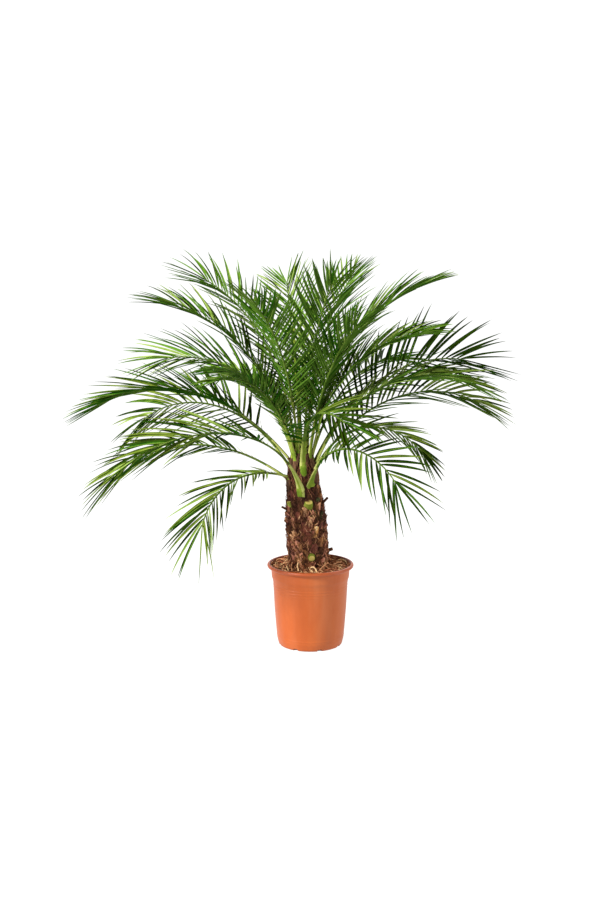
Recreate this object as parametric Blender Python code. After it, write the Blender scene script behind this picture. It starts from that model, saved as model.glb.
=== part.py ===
"""Pygmy date palm in a round nursery pot.

Metres, +Z up. The origin is the centre of the pot's flat underside, and the front of the plant
faces -Y. The pot and the soil are turned, the trunk is a leaning column covered with cut leaf bases,
and each frond is one closed blade: a tapering rib with a comb of leaflets drawn out of its sides.
"""

import math

import bmesh
import bpy
import numpy as np
from mathutils import Matrix, Vector
from mathutils.bvhtree import BVHTree

# Clearance between pieces that touch on the real plant.
GAP = 0.0003

# Pot: a 24 cm nursery pot.
POT_HEIGHT = 0.230
RIM_RADIUS = 0.120
SHOULDER_RADIUS = 0.1090
FOOT_RADIUS = 0.0865
POT_WALL = 0.0022
POT_FLOOR = 0.003
TURN_STEPS = 40
DRAIN_HOLES = 8
DRAIN_RADIUS = 0.006
DRAIN_CIRCLE = 0.058
FOOT_NOTCHES = 8
NOTCH_WIDTH = 0.018
NOTCH_HEIGHT = 0.006
FIRST_NOTCH_ANGLE = -118.0
POT_HEIGHTS = (0.0, 0.006, 0.020, 0.060, 0.105, 0.175, 0.185, 0.194, 0.2165)
POT_RADII = (FOOT_RADIUS, 0.0895, 0.0930, 0.0966, 0.1000, 0.1034, 0.1050, 0.1077, SHOULDER_RADIUS)

# Soil: flat round the trunk, slightly lower towards the wall.
SOIL_HEIGHT = 0.222
SOIL_FLAT_RADIUS = 0.080
SOIL_WALL_HEIGHT = 0.2200

# Trunk: it leans towards -X from a flat cut on the soil up to the crown.
TRUNK_FOOT = SOIL_HEIGHT + GAP
TRUNK_TOP = 0.562
TRUNK_FOOT_X = -0.004
TRUNK_LEAN = 0.064
TRUNK_HEIGHTS = (0.222, 0.234, 0.255, 0.300, 0.370, 0.405, 0.440, 0.470, 0.500, 0.525, 0.548, 0.562)
TRUNK_RADII = (0.0540, 0.0524, 0.0514, 0.0520, 0.0505, 0.0455, 0.0415, 0.0390, 0.0330, 0.0260, 0.0165, 0.0100)
TRUNK_RINGS = 25
TRUNK_SIDES = 30

# Cut leaf bases round the trunk, one golden angle apart.
GOLDEN_ANGLE = 137.508
BASE_COUNT = 96
BASE_RISE = 0.0023
BASE_HALF_WIDTH = 0.019
BASE_HEIGHT = 0.030
BASE_DEPTH = 0.0065
RELIEF_END = 0.470

# Cut stalks that stand out of the trunk: azimuth, height, rise, reach, width, depth.
CUT_STALKS = (
    (192, 0.384, 30, 0.016, 0.008, 0.006),
    (345, 0.402, 48, 0.022, 0.009, 0.007),
    (352, 0.268, 18, 0.014, 0.012, 0.009),
    (282, 0.408, 56, 0.005, 0.022, 0.018),
    (214, 0.400, 68, 0.010, 0.014, 0.010),
    (318, 0.416, 40, 0.004, 0.012, 0.010),
    (279, 0.259, -16, 0.006, 0.018, 0.018),
    (60, 0.395, 40, 0.012, 0.016, 0.010),
    (100, 0.300, 30, 0.009, 0.015, 0.010),
    (140, 0.410, 44, 0.014, 0.014, 0.009),
    (25, 0.330, 32, 0.009, 0.014, 0.010),
    (165, 0.345, 30, 0.008, 0.013, 0.009),
)
STALK_ROOT = 0.018

# Fronds: azimuth (0 is +X, 90 is the back), launch angle, bend, rib length, base height,
# sweep to the left, roll, which lowers the left side as seen from the trunk, and spread of the leaflets.
FRONDS = (
    (206, 21, 90, 0.365, 0.468, 26, 10, 1.05),
    (184, 38, 84, 0.55, 0.450, 6, 14, 0.9),
    (256, 50, 76, 0.605, 0.424, -66, 12, 0.9),
    (165, 59, 98, 0.53, 0.468, 4, 36, 1.1),
    (184, 52, 77, 0.585, 0.502, 5, 6, 0.85),
    (140, 74, 84, 0.42, 0.508, 9, 10, 1.0),
    (204, 76, 85, 0.525, 0.497, -11, 20, 1.15),
    (180, 79, 64, 0.575, 0.508, -7, 12, 1.0),
    (149, 83, 56, 0.575, 0.530, 11, 20, 1.15),
    (106, 82, 51, 0.55, 0.530, -12, 30, 1.0),
    (48, 87, 46, 0.545, 0.530, 0, -8, 1.12),
    (12, 82, 61, 0.58, 0.522, 0, 0, 0.6),
    (346, 84, 78, 0.54, 0.482, 0, -26, 0.6),
    (10, 66, 74, 0.56, 0.488, -5, -38, 1.2),
    (346, 70, 88, 0.55, 0.470, 11, -10, 0.9),
    (22, 58, 84, 0.565, 0.466, -22, -22, 1.0),
    (322, 65, 118, 0.44, 0.460, 12, -10, 0.9),
    (288, 62, 116, 0.465, 0.415, 36, -50, 1.2),
    (262, 84, 112, 0.42, 0.440, 50, -28, 1.0),
    (80, 60, 66, 0.55, 0.490, 0, 10, 1.0),
    (120, 55, 66, 0.53, 0.480, 0, -10, 1.0),
    (50, 64, 74, 0.53, 0.490, 0, 0, 1.0),
    (242, 82, 54, 0.52, 0.524, 4, 8, 0.9),
    (289, 85, 48, 0.54, 0.534, 0, 0, 0.85),
    (229, 75, 82, 0.47, 0.484, 3, -8, 0.9),
    (320, 83, 52, 0.47, 0.500, -24, 6, 0.8),
)
BASE_RING_RADIUS = 0.020
FULL_ROLL_SHARE = 0.4
BEND_POWER = 1.4
SPLIT_BEND = 68
SPLIT_SHARE = 0.52
PATH_STEPS = 80

# Rib section along its length: width across the frond and depth from top to bottom.
RIB_SHARES = (0.0, 0.09, 0.2, 0.6, 1.0)
RIB_WIDTHS = (0.0145, 0.0092, 0.0062, 0.0048, 0.0030)
RIB_DEPTHS = (0.0085, 0.0072, 0.0060, 0.0046, 0.0030)
STALK_RINGS = 5
TIP_LEAFLET = 0.135

# Leaflets: pairs along the rib above the bare stalk.
LEAFLET_PAIRS = 16
# Bare share of the rib below the lowest pair, for most fronds and for those that differ.
COMMON_BARE = 0.36
OWN_BARE = {1: 0.27, 3: 0.48}
LEAFLET_END = 0.985
LEAFLET_FILL = 0.70
LEAFLET_LENGTH = 0.190
NOMINAL_FROND = 0.55
LEAFLET_SIZE_POWER = 0.3
LEAFLET_CLEARANCE = 0.0005
LEAFLET_DROOP = 0.55
LEAFLET_ANGLE = 55.0
ANGLE_LOSS_TO_TIP = 31.0
# Share of the full leaflet length at four places along the leafy part, from the lowest pair to the tip,
# first for most fronds and then for those that differ.
REACH_PLACES = (0.0, 0.25, 0.6, 1.0)
COMMON_REACH = (0.50, 0.95, 1.00, 0.76)
OWN_REACH = {
    1: (0.36, 0.80, 1.02, 0.94),
    4: (0.53, 1.00, 1.05, 0.80),
    6: (0.30, 0.55, 0.60, 0.45),
    7: (0.53, 1.00, 1.05, 0.80),
    9: (0.42, 0.78, 0.86, 0.78),
    10: (0.50, 0.95, 1.00, 0.75),
    11: (0.50, 0.95, 0.90, 0.50),
    13: (0.35, 0.62, 0.66, 0.52),
    14: (0.35, 0.80, 1.20, 0.92),
    17: (0.34, 0.65, 0.68, 0.52),
    18: (0.16, 0.32, 0.74, 0.84),
    19: (0.45, 0.85, 0.90, 0.68),
    25: (0.30, 0.58, 0.60, 0.46),
}
# Leaflets stand up off the rib in a shallow V, which flattens on fronds that bend or start low.
LEAFLET_LIFT = 25.0
LIFT_LOSS_TO_TIP = 10.0
LIFT_LOSS_PER_BEND = 0.4
LIFT_LOSS_PER_LOW_LAUNCH = 0.5
FREE_BEND = 54.0
FREE_LAUNCH = 50.0
# Changes that are tried, in order, where a leaflet would touch something:
# turn towards the tip, lift, share of its length.
LEAFLET_TRIES = (
    (0, 0, 1.0), (4, 0, 1.0), (-4, 0, 1.0), (0, 8, 1.0), (0, -8, 1.0), (5, 8, 1.0), (-5, -8, 1.0),
    (5, -8, 1.0), (-5, 8, 1.0), (0, 16, 1.0), (0, -16, 1.0), (8, 16, 0.9), (8, -16, 0.9),
    (0, 0, 0.8), (6, 12, 0.8), (6, -12, 0.8), (0, 0, 0.62), (8, 0, 0.5),
)

# Spear: the unopened leaf in the middle of the crown.
SPEAR_LENGTH = 0.36
SPEAR_RADIUS = 0.0050
SPEAR_SIDES = 6


def clear_scene():
    for item in list(bpy.data.objects):
        bpy.data.objects.remove(item, do_unlink=True)


def plain_material(name, colour, roughness):
    material = bpy.data.materials.new(name)
    material.use_nodes = True
    shader = material.node_tree.nodes["Principled BSDF"]
    shader.inputs["Base Color"].default_value = (*colour, 1.0)
    shader.inputs["Roughness"].default_value = roughness
    shader.inputs["Metallic"].default_value = 0.0
    material.diffuse_color = (*colour, 1.0)
    return material


def make_object(name, mesh_data, material, smooth_angle=None):
    """Turn a bmesh into a named object with its faces pointing out."""
    bmesh.ops.recalc_face_normals(mesh_data, faces=mesh_data.faces)
    mesh = bpy.data.meshes.new(name)
    mesh_data.to_mesh(mesh)
    mesh_data.free()
    if smooth_angle is not None:
        mesh.shade_smooth()
        mesh.set_sharp_from_angle(angle=math.radians(smooth_angle))
    item = bpy.data.objects.new(name, mesh)
    bpy.context.scene.collection.objects.link(item)
    if material:
        mesh.materials.append(material)
    return item


def turned(name, profile, material):
    """Spin a profile of (radius, height) points, which starts and ends on the axis."""
    shape = bmesh.new()
    points = [shape.verts.new((radius, 0.0, height)) for radius, height in profile]
    edges = [shape.edges.new(pair) for pair in zip(points, points[1:])]
    bmesh.ops.spin(shape, geom=points + edges, cent=(0, 0, 0), axis=(0, 0, 1),
                   angle=math.tau, steps=TURN_STEPS, use_merge=True)
    bmesh.ops.remove_doubles(shape, verts=shape.verts, dist=1e-6)
    return make_object(name, shape, material, smooth_angle=35)


def cut_away(target, cutter, name):
    """Take a cutter out of a piece, and leave the cutter as a wire guide."""
    cutter.hide_render = True
    cutter.display_type = "WIRE"
    cut = target.modifiers.new(name, "BOOLEAN")
    cut.operation = "DIFFERENCE"
    cut.solver = "EXACT"
    cut.object = cutter


def pot_radius(height):
    """Outer radius of the pot's wall, which steps out under the collar."""
    return float(np.interp(height, POT_HEIGHTS, POT_RADII))


def pot_inner_radius(height):
    return pot_radius(height) - POT_WALL


def make_pot(material):
    outer = list(zip(POT_RADII, POT_HEIGHTS))
    collar = [
        (0.1108, 0.2186),
        (0.1160, 0.2203),
        (0.1190, 0.2220),
        (RIM_RADIUS, 0.2245),
        (RIM_RADIUS, 0.2275),
        (RIM_RADIUS - 0.0017, POT_HEIGHT),
        (RIM_RADIUS - 0.0038, POT_HEIGHT - 0.0006),
        (0.1125, 0.2262),
        (0.1084, 0.2228),
        (SHOULDER_RADIUS - POT_WALL, 0.2205),
    ]
    inner_heights = POT_HEIGHTS[:1:-1] + (POT_FLOOR,)
    inner = [(pot_inner_radius(height), height) for height in inner_heights]
    profile = [(0.0, 0.0)] + outer + collar + inner + [(0.0, POT_FLOOR)]
    pot = turned("pot", profile, material)

    holes = bmesh.new()
    for index in range(DRAIN_HOLES):
        angle = math.tau * (index + 0.5) / DRAIN_HOLES
        spot = (DRAIN_CIRCLE * math.cos(angle), DRAIN_CIRCLE * math.sin(angle), 0.0)
        made = bmesh.ops.create_cone(holes, cap_ends=True, segments=12, radius1=DRAIN_RADIUS,
                                     radius2=DRAIN_RADIUS, depth=0.012)
        bmesh.ops.translate(holes, verts=made["verts"], vec=spot)
    cut_away(pot, make_object("drain_hole_cutter", holes, None), "drain holes")

    notches = bmesh.new()
    for index in range(FOOT_NOTCHES):
        angle = math.radians(FIRST_NOTCH_ANGLE) + math.tau * index / FOOT_NOTCHES
        made = bmesh.ops.create_cone(notches, cap_ends=True, segments=4, radius1=NOTCH_WIDTH / 2 * 1.3,
                                     radius2=NOTCH_WIDTH / 2 * 0.8, depth=2 * NOTCH_HEIGHT)
        bmesh.ops.rotate(notches, verts=made["verts"], matrix=Matrix.Rotation(angle + math.pi / 4, 3, "Z"))
        bmesh.ops.translate(notches, verts=made["verts"],
                            vec=(FOOT_RADIUS * math.cos(angle), FOOT_RADIUS * math.sin(angle), 0.0))
    cut_away(pot, make_object("foot_notch_cutter", notches, None), "foot notches")
    return pot


def make_soil(material):
    side_heights = POT_HEIGHTS[:1:-1] + (POT_FLOOR + GAP,)
    sides = [(pot_inner_radius(height) - GAP, height) for height in side_heights]
    profile = [
        (0.0, SOIL_HEIGHT),
        (SOIL_FLAT_RADIUS, SOIL_HEIGHT),
        (0.096, SOIL_HEIGHT - 0.0006),
        (pot_inner_radius(SOIL_WALL_HEIGHT) - GAP, SOIL_WALL_HEIGHT),
    ] + sides + [(0.0, POT_FLOOR + GAP)]
    return turned("soil", profile, material)


def trunk_axis(height):
    return Vector((TRUNK_FOOT_X - TRUNK_LEAN * (height - TRUNK_FOOT), 0.0, height))


def trunk_radius(height):
    return float(np.interp(height, TRUNK_HEIGHTS, TRUNK_RADII))


def base_relief(angle, height):
    """How far the cut leaf bases stand out of the trunk here."""
    order = np.arange(BASE_COUNT)
    centres = np.radians(GOLDEN_ANGLE) * order
    feet = TRUNK_FOOT - 0.012 + BASE_RISE * order
    turn = (angle - centres + math.pi) % math.tau - math.pi
    across = np.abs(turn) * trunk_radius(height) / BASE_HALF_WIDTH
    up = (height - feet) / BASE_HEIGHT
    inside = (across < 1.0) & (up >= 0.0) & (up <= 1.0)
    stand = np.where(inside, up * (1.0 - across ** 2), 0.0)
    fade = np.clip((RELIEF_END - height) / 0.05, 0.0, 1.0)
    return BASE_DEPTH * float(stand.max()) * float(fade)


def cut_stalk(azimuth, height, rise, reach, width, depth):
    """A tapered block from inside the trunk, out and up to the cut end."""
    azimuth, rise = math.radians(azimuth), math.radians(rise)
    outward = Vector((math.cos(azimuth), math.sin(azimuth), 0.0))
    along = outward * math.cos(rise) + Vector((0, 0, math.sin(rise)))
    side = Vector((-math.sin(azimuth), math.cos(azimuth), 0.0))
    above = along.cross(side)
    surface = trunk_axis(height) + outward * (trunk_radius(height) + BASE_DEPTH * 0.6)
    shape = bmesh.new()
    rings = []
    for distance, swell in ((-STALK_ROOT, 1.25), (reach, 1.0)):
        centre = surface + along * distance
        rings.append([
            shape.verts.new(centre + side * (across * width * swell / 2) + above * (up * depth * swell / 2))
            for across, up in ((-1, 1), (1, 1), (1, -1), (-1, -1))
        ])
    bridge(shape, rings[0], rings[1])
    shape.faces.new(rings[0])
    shape.faces.new(rings[1])
    return shape


def bridge(shape, ring, following):
    count = len(ring)
    for index in range(count):
        after = (index + 1) % count
        shape.faces.new((ring[index], ring[after], following[after], following[index]))


def make_trunk(material):
    shape = bmesh.new()
    rings = []
    for height in np.linspace(TRUNK_FOOT, TRUNK_TOP, TRUNK_RINGS):
        centre = trunk_axis(height)
        ring = []
        for angle in np.linspace(0.0, math.tau, TRUNK_SIDES, endpoint=False):
            reach = trunk_radius(height) + base_relief(angle, height)
            ring.append(shape.verts.new(centre + Vector((reach * math.cos(angle), reach * math.sin(angle), 0.0))))
        rings.append(ring)
    for ring, following in zip(rings, rings[1:]):
        bridge(shape, ring, following)
    shape.faces.new(rings[0])
    shape.faces.new(rings[-1])
    trunk = make_object("trunk", shape, material)

    stalks = bpy.data.collections.new("cut_stalks")
    bpy.context.scene.collection.children.link(stalks)
    for index, values in enumerate(CUT_STALKS):
        stalk = make_object(f"cut_stalk_{index + 1}", cut_stalk(*values), None)
        bpy.context.scene.collection.objects.unlink(stalk)
        stalks.objects.link(stalk)
    join_collection(trunk, stalks)
    return trunk


def join_collection(target, collection):
    """Fuse every object of a collection into one piece, and remove them."""
    union = target.modifiers.new("union", "BOOLEAN")
    union.operation = "UNION"
    union.solver = "EXACT"
    union.operand_type = "COLLECTION"
    union.collection = collection
    bpy.context.view_layer.update()
    evaluated = target.evaluated_get(bpy.context.evaluated_depsgraph_get())
    fused = bpy.data.meshes.new_from_object(evaluated)
    target.modifiers.clear()
    target.data = fused
    for item in list(collection.objects):
        bpy.data.objects.remove(item, do_unlink=True)
    bpy.data.collections.remove(collection)


def surface_tree(item):
    """A search tree over an object's evaluated surface."""
    bpy.context.view_layer.update()
    return BVHTree.FromObject(item, bpy.context.evaluated_depsgraph_get())


class Rib:
    """The curved middle line of a frond, with its frame and section at any share of its length."""

    def __init__(self, number, azimuth, launch, bend, length, base_height, sweep, roll, spread):
        self.length = length
        self.bend = bend
        self.spread = spread
        self.reach = OWN_REACH.get(number, COMMON_REACH)
        self.bare = OWN_BARE.get(number, COMMON_BARE)
        self.lift = (LEAFLET_LIFT - LIFT_LOSS_PER_BEND * max(0.0, bend - FREE_BEND)
                     - LIFT_LOSS_PER_LOW_LAUNCH * max(0.0, FREE_LAUNCH - launch))
        start = math.radians(azimuth)
        point = trunk_axis(base_height)
        point += Vector((BASE_RING_RADIUS * math.cos(start), BASE_RING_RADIUS * math.sin(start), 0.0))
        self.points, self.tangents, self.sides = [], [], []
        for step in range(PATH_STEPS + 1):
            share = step / PATH_STEPS
            rise = math.radians(launch - bend * share ** BEND_POWER)
            heading = math.radians(azimuth + sweep * share)
            tangent = Vector((math.cos(rise) * math.cos(heading), math.cos(rise) * math.sin(heading), math.sin(rise)))
            side = Vector((-math.sin(heading), math.cos(heading), 0.0))
            turn = math.radians(roll) * min(1.0, share / FULL_ROLL_SHARE)
            side = side * math.cos(turn) - tangent.cross(side) * math.sin(turn)
            self.points.append(point.copy())
            self.tangents.append(tangent)
            self.sides.append(side)
            point += tangent * (length / PATH_STEPS)

    def frame(self, share):
        """Point, tangent, side and top direction at a share of the length."""
        place = min(max(share, 0.0), 1.0) * PATH_STEPS
        low = min(int(place), PATH_STEPS - 1)
        mix = place - low
        point = self.points[low].lerp(self.points[low + 1], mix)
        tangent = self.tangents[low].lerp(self.tangents[low + 1], mix).normalized()
        side = self.sides[low].lerp(self.sides[low + 1], mix)
        side = (side - tangent * side.dot(tangent)).normalized()
        return point, tangent, side, tangent.cross(side)

    def corners(self, share):
        """The four corners of the section: top, then bottom, from one side round to the other."""
        point, _, side, top = self.frame(share)
        across = side * (float(np.interp(share, RIB_SHARES, RIB_WIDTHS)) / 2)
        up = top * (float(np.interp(share, RIB_SHARES, RIB_DEPTHS)) / 2)
        return [point - across + up, point + across + up, point + across - up, point - across - up]


def signed_distance(tree, point):
    nearest, normal, _, distance = tree.find_nearest(point)
    return -distance if (point - nearest).dot(normal) < 0.0 else distance


def seat_share(rib, trunk_tree):
    """Where the rib clears the trunk by the gap, coming out from inside it."""
    def clearance(start):
        reach = 0.07 / rib.length
        samples = []
        for share in np.linspace(start, start + reach, 15):
            corners = rib.corners(share)
            samples += corners
            samples += [first.lerp(second, 0.5) for first, second in zip(corners, corners[1:] + corners[:1])]
        return min(signed_distance(trunk_tree, sample) for sample in samples)

    step = 0.002 / rib.length
    start = 0.0
    while clearance(start) < GAP:
        start += step
    low, high = start - step, start
    for _ in range(12):
        middle = (low + high) / 2
        if clearance(middle) < GAP:
            low = middle
        else:
            high = middle
    return high


def tube_tree(rib, start):
    """A search tree over a rib's own surface."""
    points, faces = [], []
    for share in np.linspace(start, 1.0, 40):
        points += rib.corners(share)
    for ring in range(39):
        for index in range(4):
            after = (index + 1) % 4
            low, high = 4 * ring, 4 * ring + 4
            faces.append((low + index, low + after, high + after, high + index))
    faces.append((0, 1, 2, 3))
    return BVHTree.FromPolygons(points, faces)


def leaflet_tip(rib, along, share, hand, change):
    """The tip of a leaflet. along runs from 0 at the lowest pair to 1 at the last."""
    turn, lift_change, shorten = change
    point, tangent, side, top = rib.frame(share)
    angle = math.radians((LEAFLET_ANGLE - ANGLE_LOSS_TO_TIP * along ** 0.9) * rib.spread - turn)
    lift = math.radians(rib.lift - LIFT_LOSS_TO_TIP * along + lift_change)
    outward = side * (hand * math.cos(lift)) + top * math.sin(lift)
    direction = tangent * math.cos(angle) + outward * math.sin(angle)
    size = LEAFLET_LENGTH * (rib.length / NOMINAL_FROND) ** LEAFLET_SIZE_POWER * shorten
    length = size * float(np.interp(along, REACH_PLACES, rib.reach))
    return point + direction * length - Vector((0, 0, LEAFLET_DROOP * length ** 2))


def leaflet_root(rib, start, end, hand):
    """The rectangle on the rib's side that a leaflet is drawn out of."""
    near, far = rib.corners(start), rib.corners(end)
    if hand > 0:
        return [near[1], near[2], far[2], far[1]]
    return [near[0], near[3], far[3], far[0]]


def leaflet_hits(root, tip, trees):
    """Whether a leaflet, grown by the clearance, meets any of the trees."""
    centre = sum(root, Vector()) / 4
    outward = (tip - centre).normalized()
    grown = []
    for corner in root:
        spread = corner - centre
        spread -= outward * spread.dot(outward)
        grown.append(corner + spread.normalized() * LEAFLET_CLEARANCE + outward * 0.0015)
    end = [tip + (corner - centre).normalized() * LEAFLET_CLEARANCE + outward * LEAFLET_CLEARANCE for corner in root]
    points = grown + end
    faces = [(index, (index + 1) % 4, (index + 1) % 4 + 4, index + 4) for index in range(4)]
    faces.append((4, 5, 6, 7))
    candidate = BVHTree.FromPolygons(points, faces)
    return any(candidate.overlap(tree) for tree in trees)


class Station:
    """One pair of leaflets: where its root starts and ends, and the two tips, or None."""

    def __init__(self, start, end, along):
        self.start, self.end, self.along = start, end, along
        self.tips = {1: None, -1: None}


def plan_leaflets(ribs, starts, fixed_trees):
    """Choose every leaflet's tip so that no leaflet touches anything else."""
    tubes = [tube_tree(rib, start) for rib, start in zip(ribs, starts)]
    plans, done = [], []
    for number, rib in enumerate(ribs):
        others = [tube for index, tube in enumerate(tubes) if index != number]
        pitch = (LEAFLET_END - rib.bare) / LEAFLET_PAIRS
        points, faces, plan = [], [], []
        own = None
        for pair in range(LEAFLET_PAIRS):
            start = rib.bare + pitch * pair
            station = Station(start, start + pitch * LEAFLET_FILL, pair / (LEAFLET_PAIRS - 1))
            for hand in (1, -1):
                root = leaflet_root(rib, station.start, station.end, hand)
                for change in LEAFLET_TRIES:
                    tip = leaflet_tip(rib, station.along, (station.start + station.end) / 2, hand, change)
                    trees = fixed_trees + others + done + ([own] if own else [])
                    if not leaflet_hits(root, tip, trees):
                        station.tips[hand] = tip
                        break
                if station.tips[hand]:
                    first = len(points)
                    points += root + [station.tips[hand]]
                    faces += [(first + i, first + (i + 1) % 4, first + 4) for i in range(4)]
            own = BVHTree.FromPolygons(points, faces) if faces else None
            plan.append(station)
        plans.append(plan)
        if own:
            done.append(own)
    return plans


def frond_piece(name, rib, start, stations, end, material, has_tip):
    """One closed blade from a share of the rib to another, with its leaflets."""
    shape = bmesh.new()
    stalk_end = stations[0].start
    rings = []
    if start < stalk_end - 1e-6:
        for share in np.linspace(start, stalk_end, STALK_RINGS)[:-1]:
            rings.append((share, None))
    for station in stations:
        rings.append((station.start, station))
        rings.append((station.end, None))
    if end > stations[-1].end + 1e-6:
        rings.append((end, None))

    corners = [[shape.verts.new(corner) for corner in rib.corners(share)] for share, _ in rings]
    for (ring, following), (_, station) in zip(zip(corners, corners[1:]), rings):
        shape.faces.new((ring[0], ring[1], following[1], following[0]))
        shape.faces.new((ring[2], ring[3], following[3], following[2]))
        for hand, (upper, lower) in ((1, (1, 2)), (-1, (0, 3))):
            side = (ring[upper], ring[lower], following[lower], following[upper])
            tip = station.tips[hand] if station else None
            if tip is None:
                shape.faces.new(side)
                continue
            point = shape.verts.new(tip)
            for index in range(4):
                shape.faces.new((side[index], side[(index + 1) % 4], point))
    shape.faces.new(corners[0])
    if has_tip:
        point, tangent, _, _ = rib.frame(end)
        tip = shape.verts.new(point + tangent * TIP_LEAFLET - Vector((0, 0, LEAFLET_DROOP * TIP_LEAFLET ** 2)))
        for index in range(4):
            shape.faces.new((corners[-1][index], corners[-1][(index + 1) % 4], tip))
    else:
        shape.faces.new(corners[-1])
    bmesh.ops.triangulate(shape, faces=shape.faces)
    return make_object(name, shape, material)


def make_fronds(material, trunk, fixed):
    trunk_tree = surface_tree(trunk)
    ribs = [Rib(number, *row) for number, row in enumerate(FRONDS, 1)]
    starts = [seat_share(rib, trunk_tree) for rib in ribs]
    fixed_trees = [trunk_tree] + [surface_tree(item) for item in fixed]
    plans = plan_leaflets(ribs, starts, fixed_trees)
    for number, (rib, start, plan) in enumerate(zip(ribs, starts, plans), 1):
        if rib.bend <= SPLIT_BEND:
            frond_piece(f"frond_{number:02d}", rib, start, plan, 1.0, material, True)
            continue
        split = next(index for index, station in enumerate(plan) if station.start > SPLIT_SHARE)
        cut = plan[split].start
        inner_end = cut - GAP / rib.length
        frond_piece(f"frond_{number:02d}_inner", rib, start, plan[:split], inner_end, material, False)
        frond_piece(f"frond_{number:02d}_outer", rib, cut, plan[split:], 1.0, material, True)


def make_spear(material):
    """The unopened leaf: a slim cone that stands on the top of the trunk."""
    foot = trunk_axis(TRUNK_TOP) + Vector((0, 0, GAP))
    shape = bmesh.new()
    rings = []
    for share, swell in ((0.0, 1.0), (0.3, 1.15), (0.7, 0.8), (1.0, 0.15)):
        centre = foot + Vector((-TRUNK_LEAN * share * SPEAR_LENGTH, 0.0, share * SPEAR_LENGTH))
        ring = []
        for index in range(SPEAR_SIDES):
            angle = math.tau * index / SPEAR_SIDES
            reach = SPEAR_RADIUS * swell
            ring.append(shape.verts.new(centre + Vector((reach * math.cos(angle), reach * math.sin(angle), 0))))
        rings.append(ring)
    for ring, following in zip(rings, rings[1:]):
        bridge(shape, ring, following)
    shape.faces.new(rings[0])
    shape.faces.new(rings[-1])
    return make_object("spear", shape, material)


def main():
    clear_scene()
    terracotta = plain_material("pot_plastic", (0.60, 0.15, 0.05), 0.5)
    earth = plain_material("soil_earth", (0.10, 0.055, 0.03), 0.95)
    fibre = plain_material("trunk_fibre", (0.12, 0.055, 0.03), 0.9)
    green = plain_material("frond_green", (0.09, 0.20, 0.03), 0.5)
    pale_green = plain_material("spear_green", (0.25, 0.40, 0.08), 0.5)

    pot = make_pot(terracotta)
    soil = make_soil(earth)
    trunk = make_trunk(fibre)
    spear = make_spear(pale_green)
    make_fronds(green, trunk, [pot, soil, spear])


main()
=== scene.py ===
"""Pygmy date palm in a nursery pot: the finish of every surface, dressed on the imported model.

Metres, +Z up, the front faces -Y. The sizes repeat the model's own named values, so every fine piece
grows on from the solid that it stands for.
"""

import math

import bmesh
import bpy
import numpy as np
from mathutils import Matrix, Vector, noise


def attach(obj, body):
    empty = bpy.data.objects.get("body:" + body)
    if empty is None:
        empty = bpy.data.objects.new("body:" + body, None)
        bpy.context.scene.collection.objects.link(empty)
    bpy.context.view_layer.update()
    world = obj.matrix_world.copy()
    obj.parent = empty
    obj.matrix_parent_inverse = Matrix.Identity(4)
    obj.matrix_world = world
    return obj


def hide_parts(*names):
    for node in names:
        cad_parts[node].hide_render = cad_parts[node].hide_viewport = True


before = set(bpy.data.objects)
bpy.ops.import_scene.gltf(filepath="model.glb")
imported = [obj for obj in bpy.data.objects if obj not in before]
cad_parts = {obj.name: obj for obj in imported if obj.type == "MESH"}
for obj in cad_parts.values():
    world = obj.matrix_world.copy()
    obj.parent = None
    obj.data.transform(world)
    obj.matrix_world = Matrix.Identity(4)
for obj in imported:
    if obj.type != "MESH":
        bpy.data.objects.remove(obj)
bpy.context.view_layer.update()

PLANT_SEED = 20
TRUNK_SEED = 3

# Camera, and lights: name, place, aim, size and power.
CAMERA_AT = (-0.029, -3.6, 1.14)
CAMERA_AIM = (-0.029, 0, 0.548)
CAMERA_LENS = 53.2
CAMERA_SENSOR = 36
LIGHTS = (
    ("key_light", (-3, -2.1, 2.7), (0, 0, 0.6), 1, 420),
    ("side_light", (-2.3, -1.7, 0.55), (0, 0, 0.25), 0.8, 36),
    ("fill_light", (3.2, -0.9, 1.5), (0, 0, 0.5), 1.4, 80),
    ("back_light", (0.6, 2.6, 2.8), (0, 0, 0.7), 1.8, 60),
)
WORLD_LIGHT = 0.34
STAGE_SIDE = 9
STAGE_FRONT = -6
STAGE_BACK = 3
STAGE_CURVE = 2
STAGE_TOP = 9
STAGE_GREY = 0.12
STAGE_GLOW = 0.95

# Pot, as radius and height where a point is given.
RIM_RADIUS = 0.12
SHOULDER_RADIUS = 0.109
FOOT_RADIUS = 0.0865
POT_WALL = 0.0022
POT_FLOOR = 0.003
TURN_STEPS = 144
POT_HEIGHTS = (0, 0.006, 0.02, 0.06, 0.105, 0.175, 0.185, 0.194, 0.2165)
POT_RADII = (FOOT_RADIUS, 0.0895, 0.093, 0.0966, 0.1, 0.1034, 0.105, 0.1077, SHOULDER_RADIUS)
POT_FOOT = ((0, 0), (0.06, 0), (FOOT_RADIUS - 0.0015, 0), (FOOT_RADIUS, 0.0006),
            (0.0885, 0.003), (0.0897, 0.0062))
POT_COLLAR = ((SHOULDER_RADIUS, 0.215), (0.1094, 0.217), (0.1108, 0.2186), (0.1135, 0.2196))
POT_THROAT = ((0.1148, 0.2282), (0.1115, 0.2254), (0.1084, 0.223), (SHOULDER_RADIUS - POT_WALL, 0.22))
WALL_START = 0.01
WALL_END = 0.2135
WALL_STEP = 0.0012
LIP_RADIUS = 0.005
LIP_HEIGHT = 0.225
# Faint stacking rings on the wall: height and how far they stand out.
STACKING_RINGS = ((0.171, 0.0006), (0.163, 0.0005), (0.155, 0.0003), (0.028, 0.0005))
RING_WIDTH = 0.0018
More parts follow.
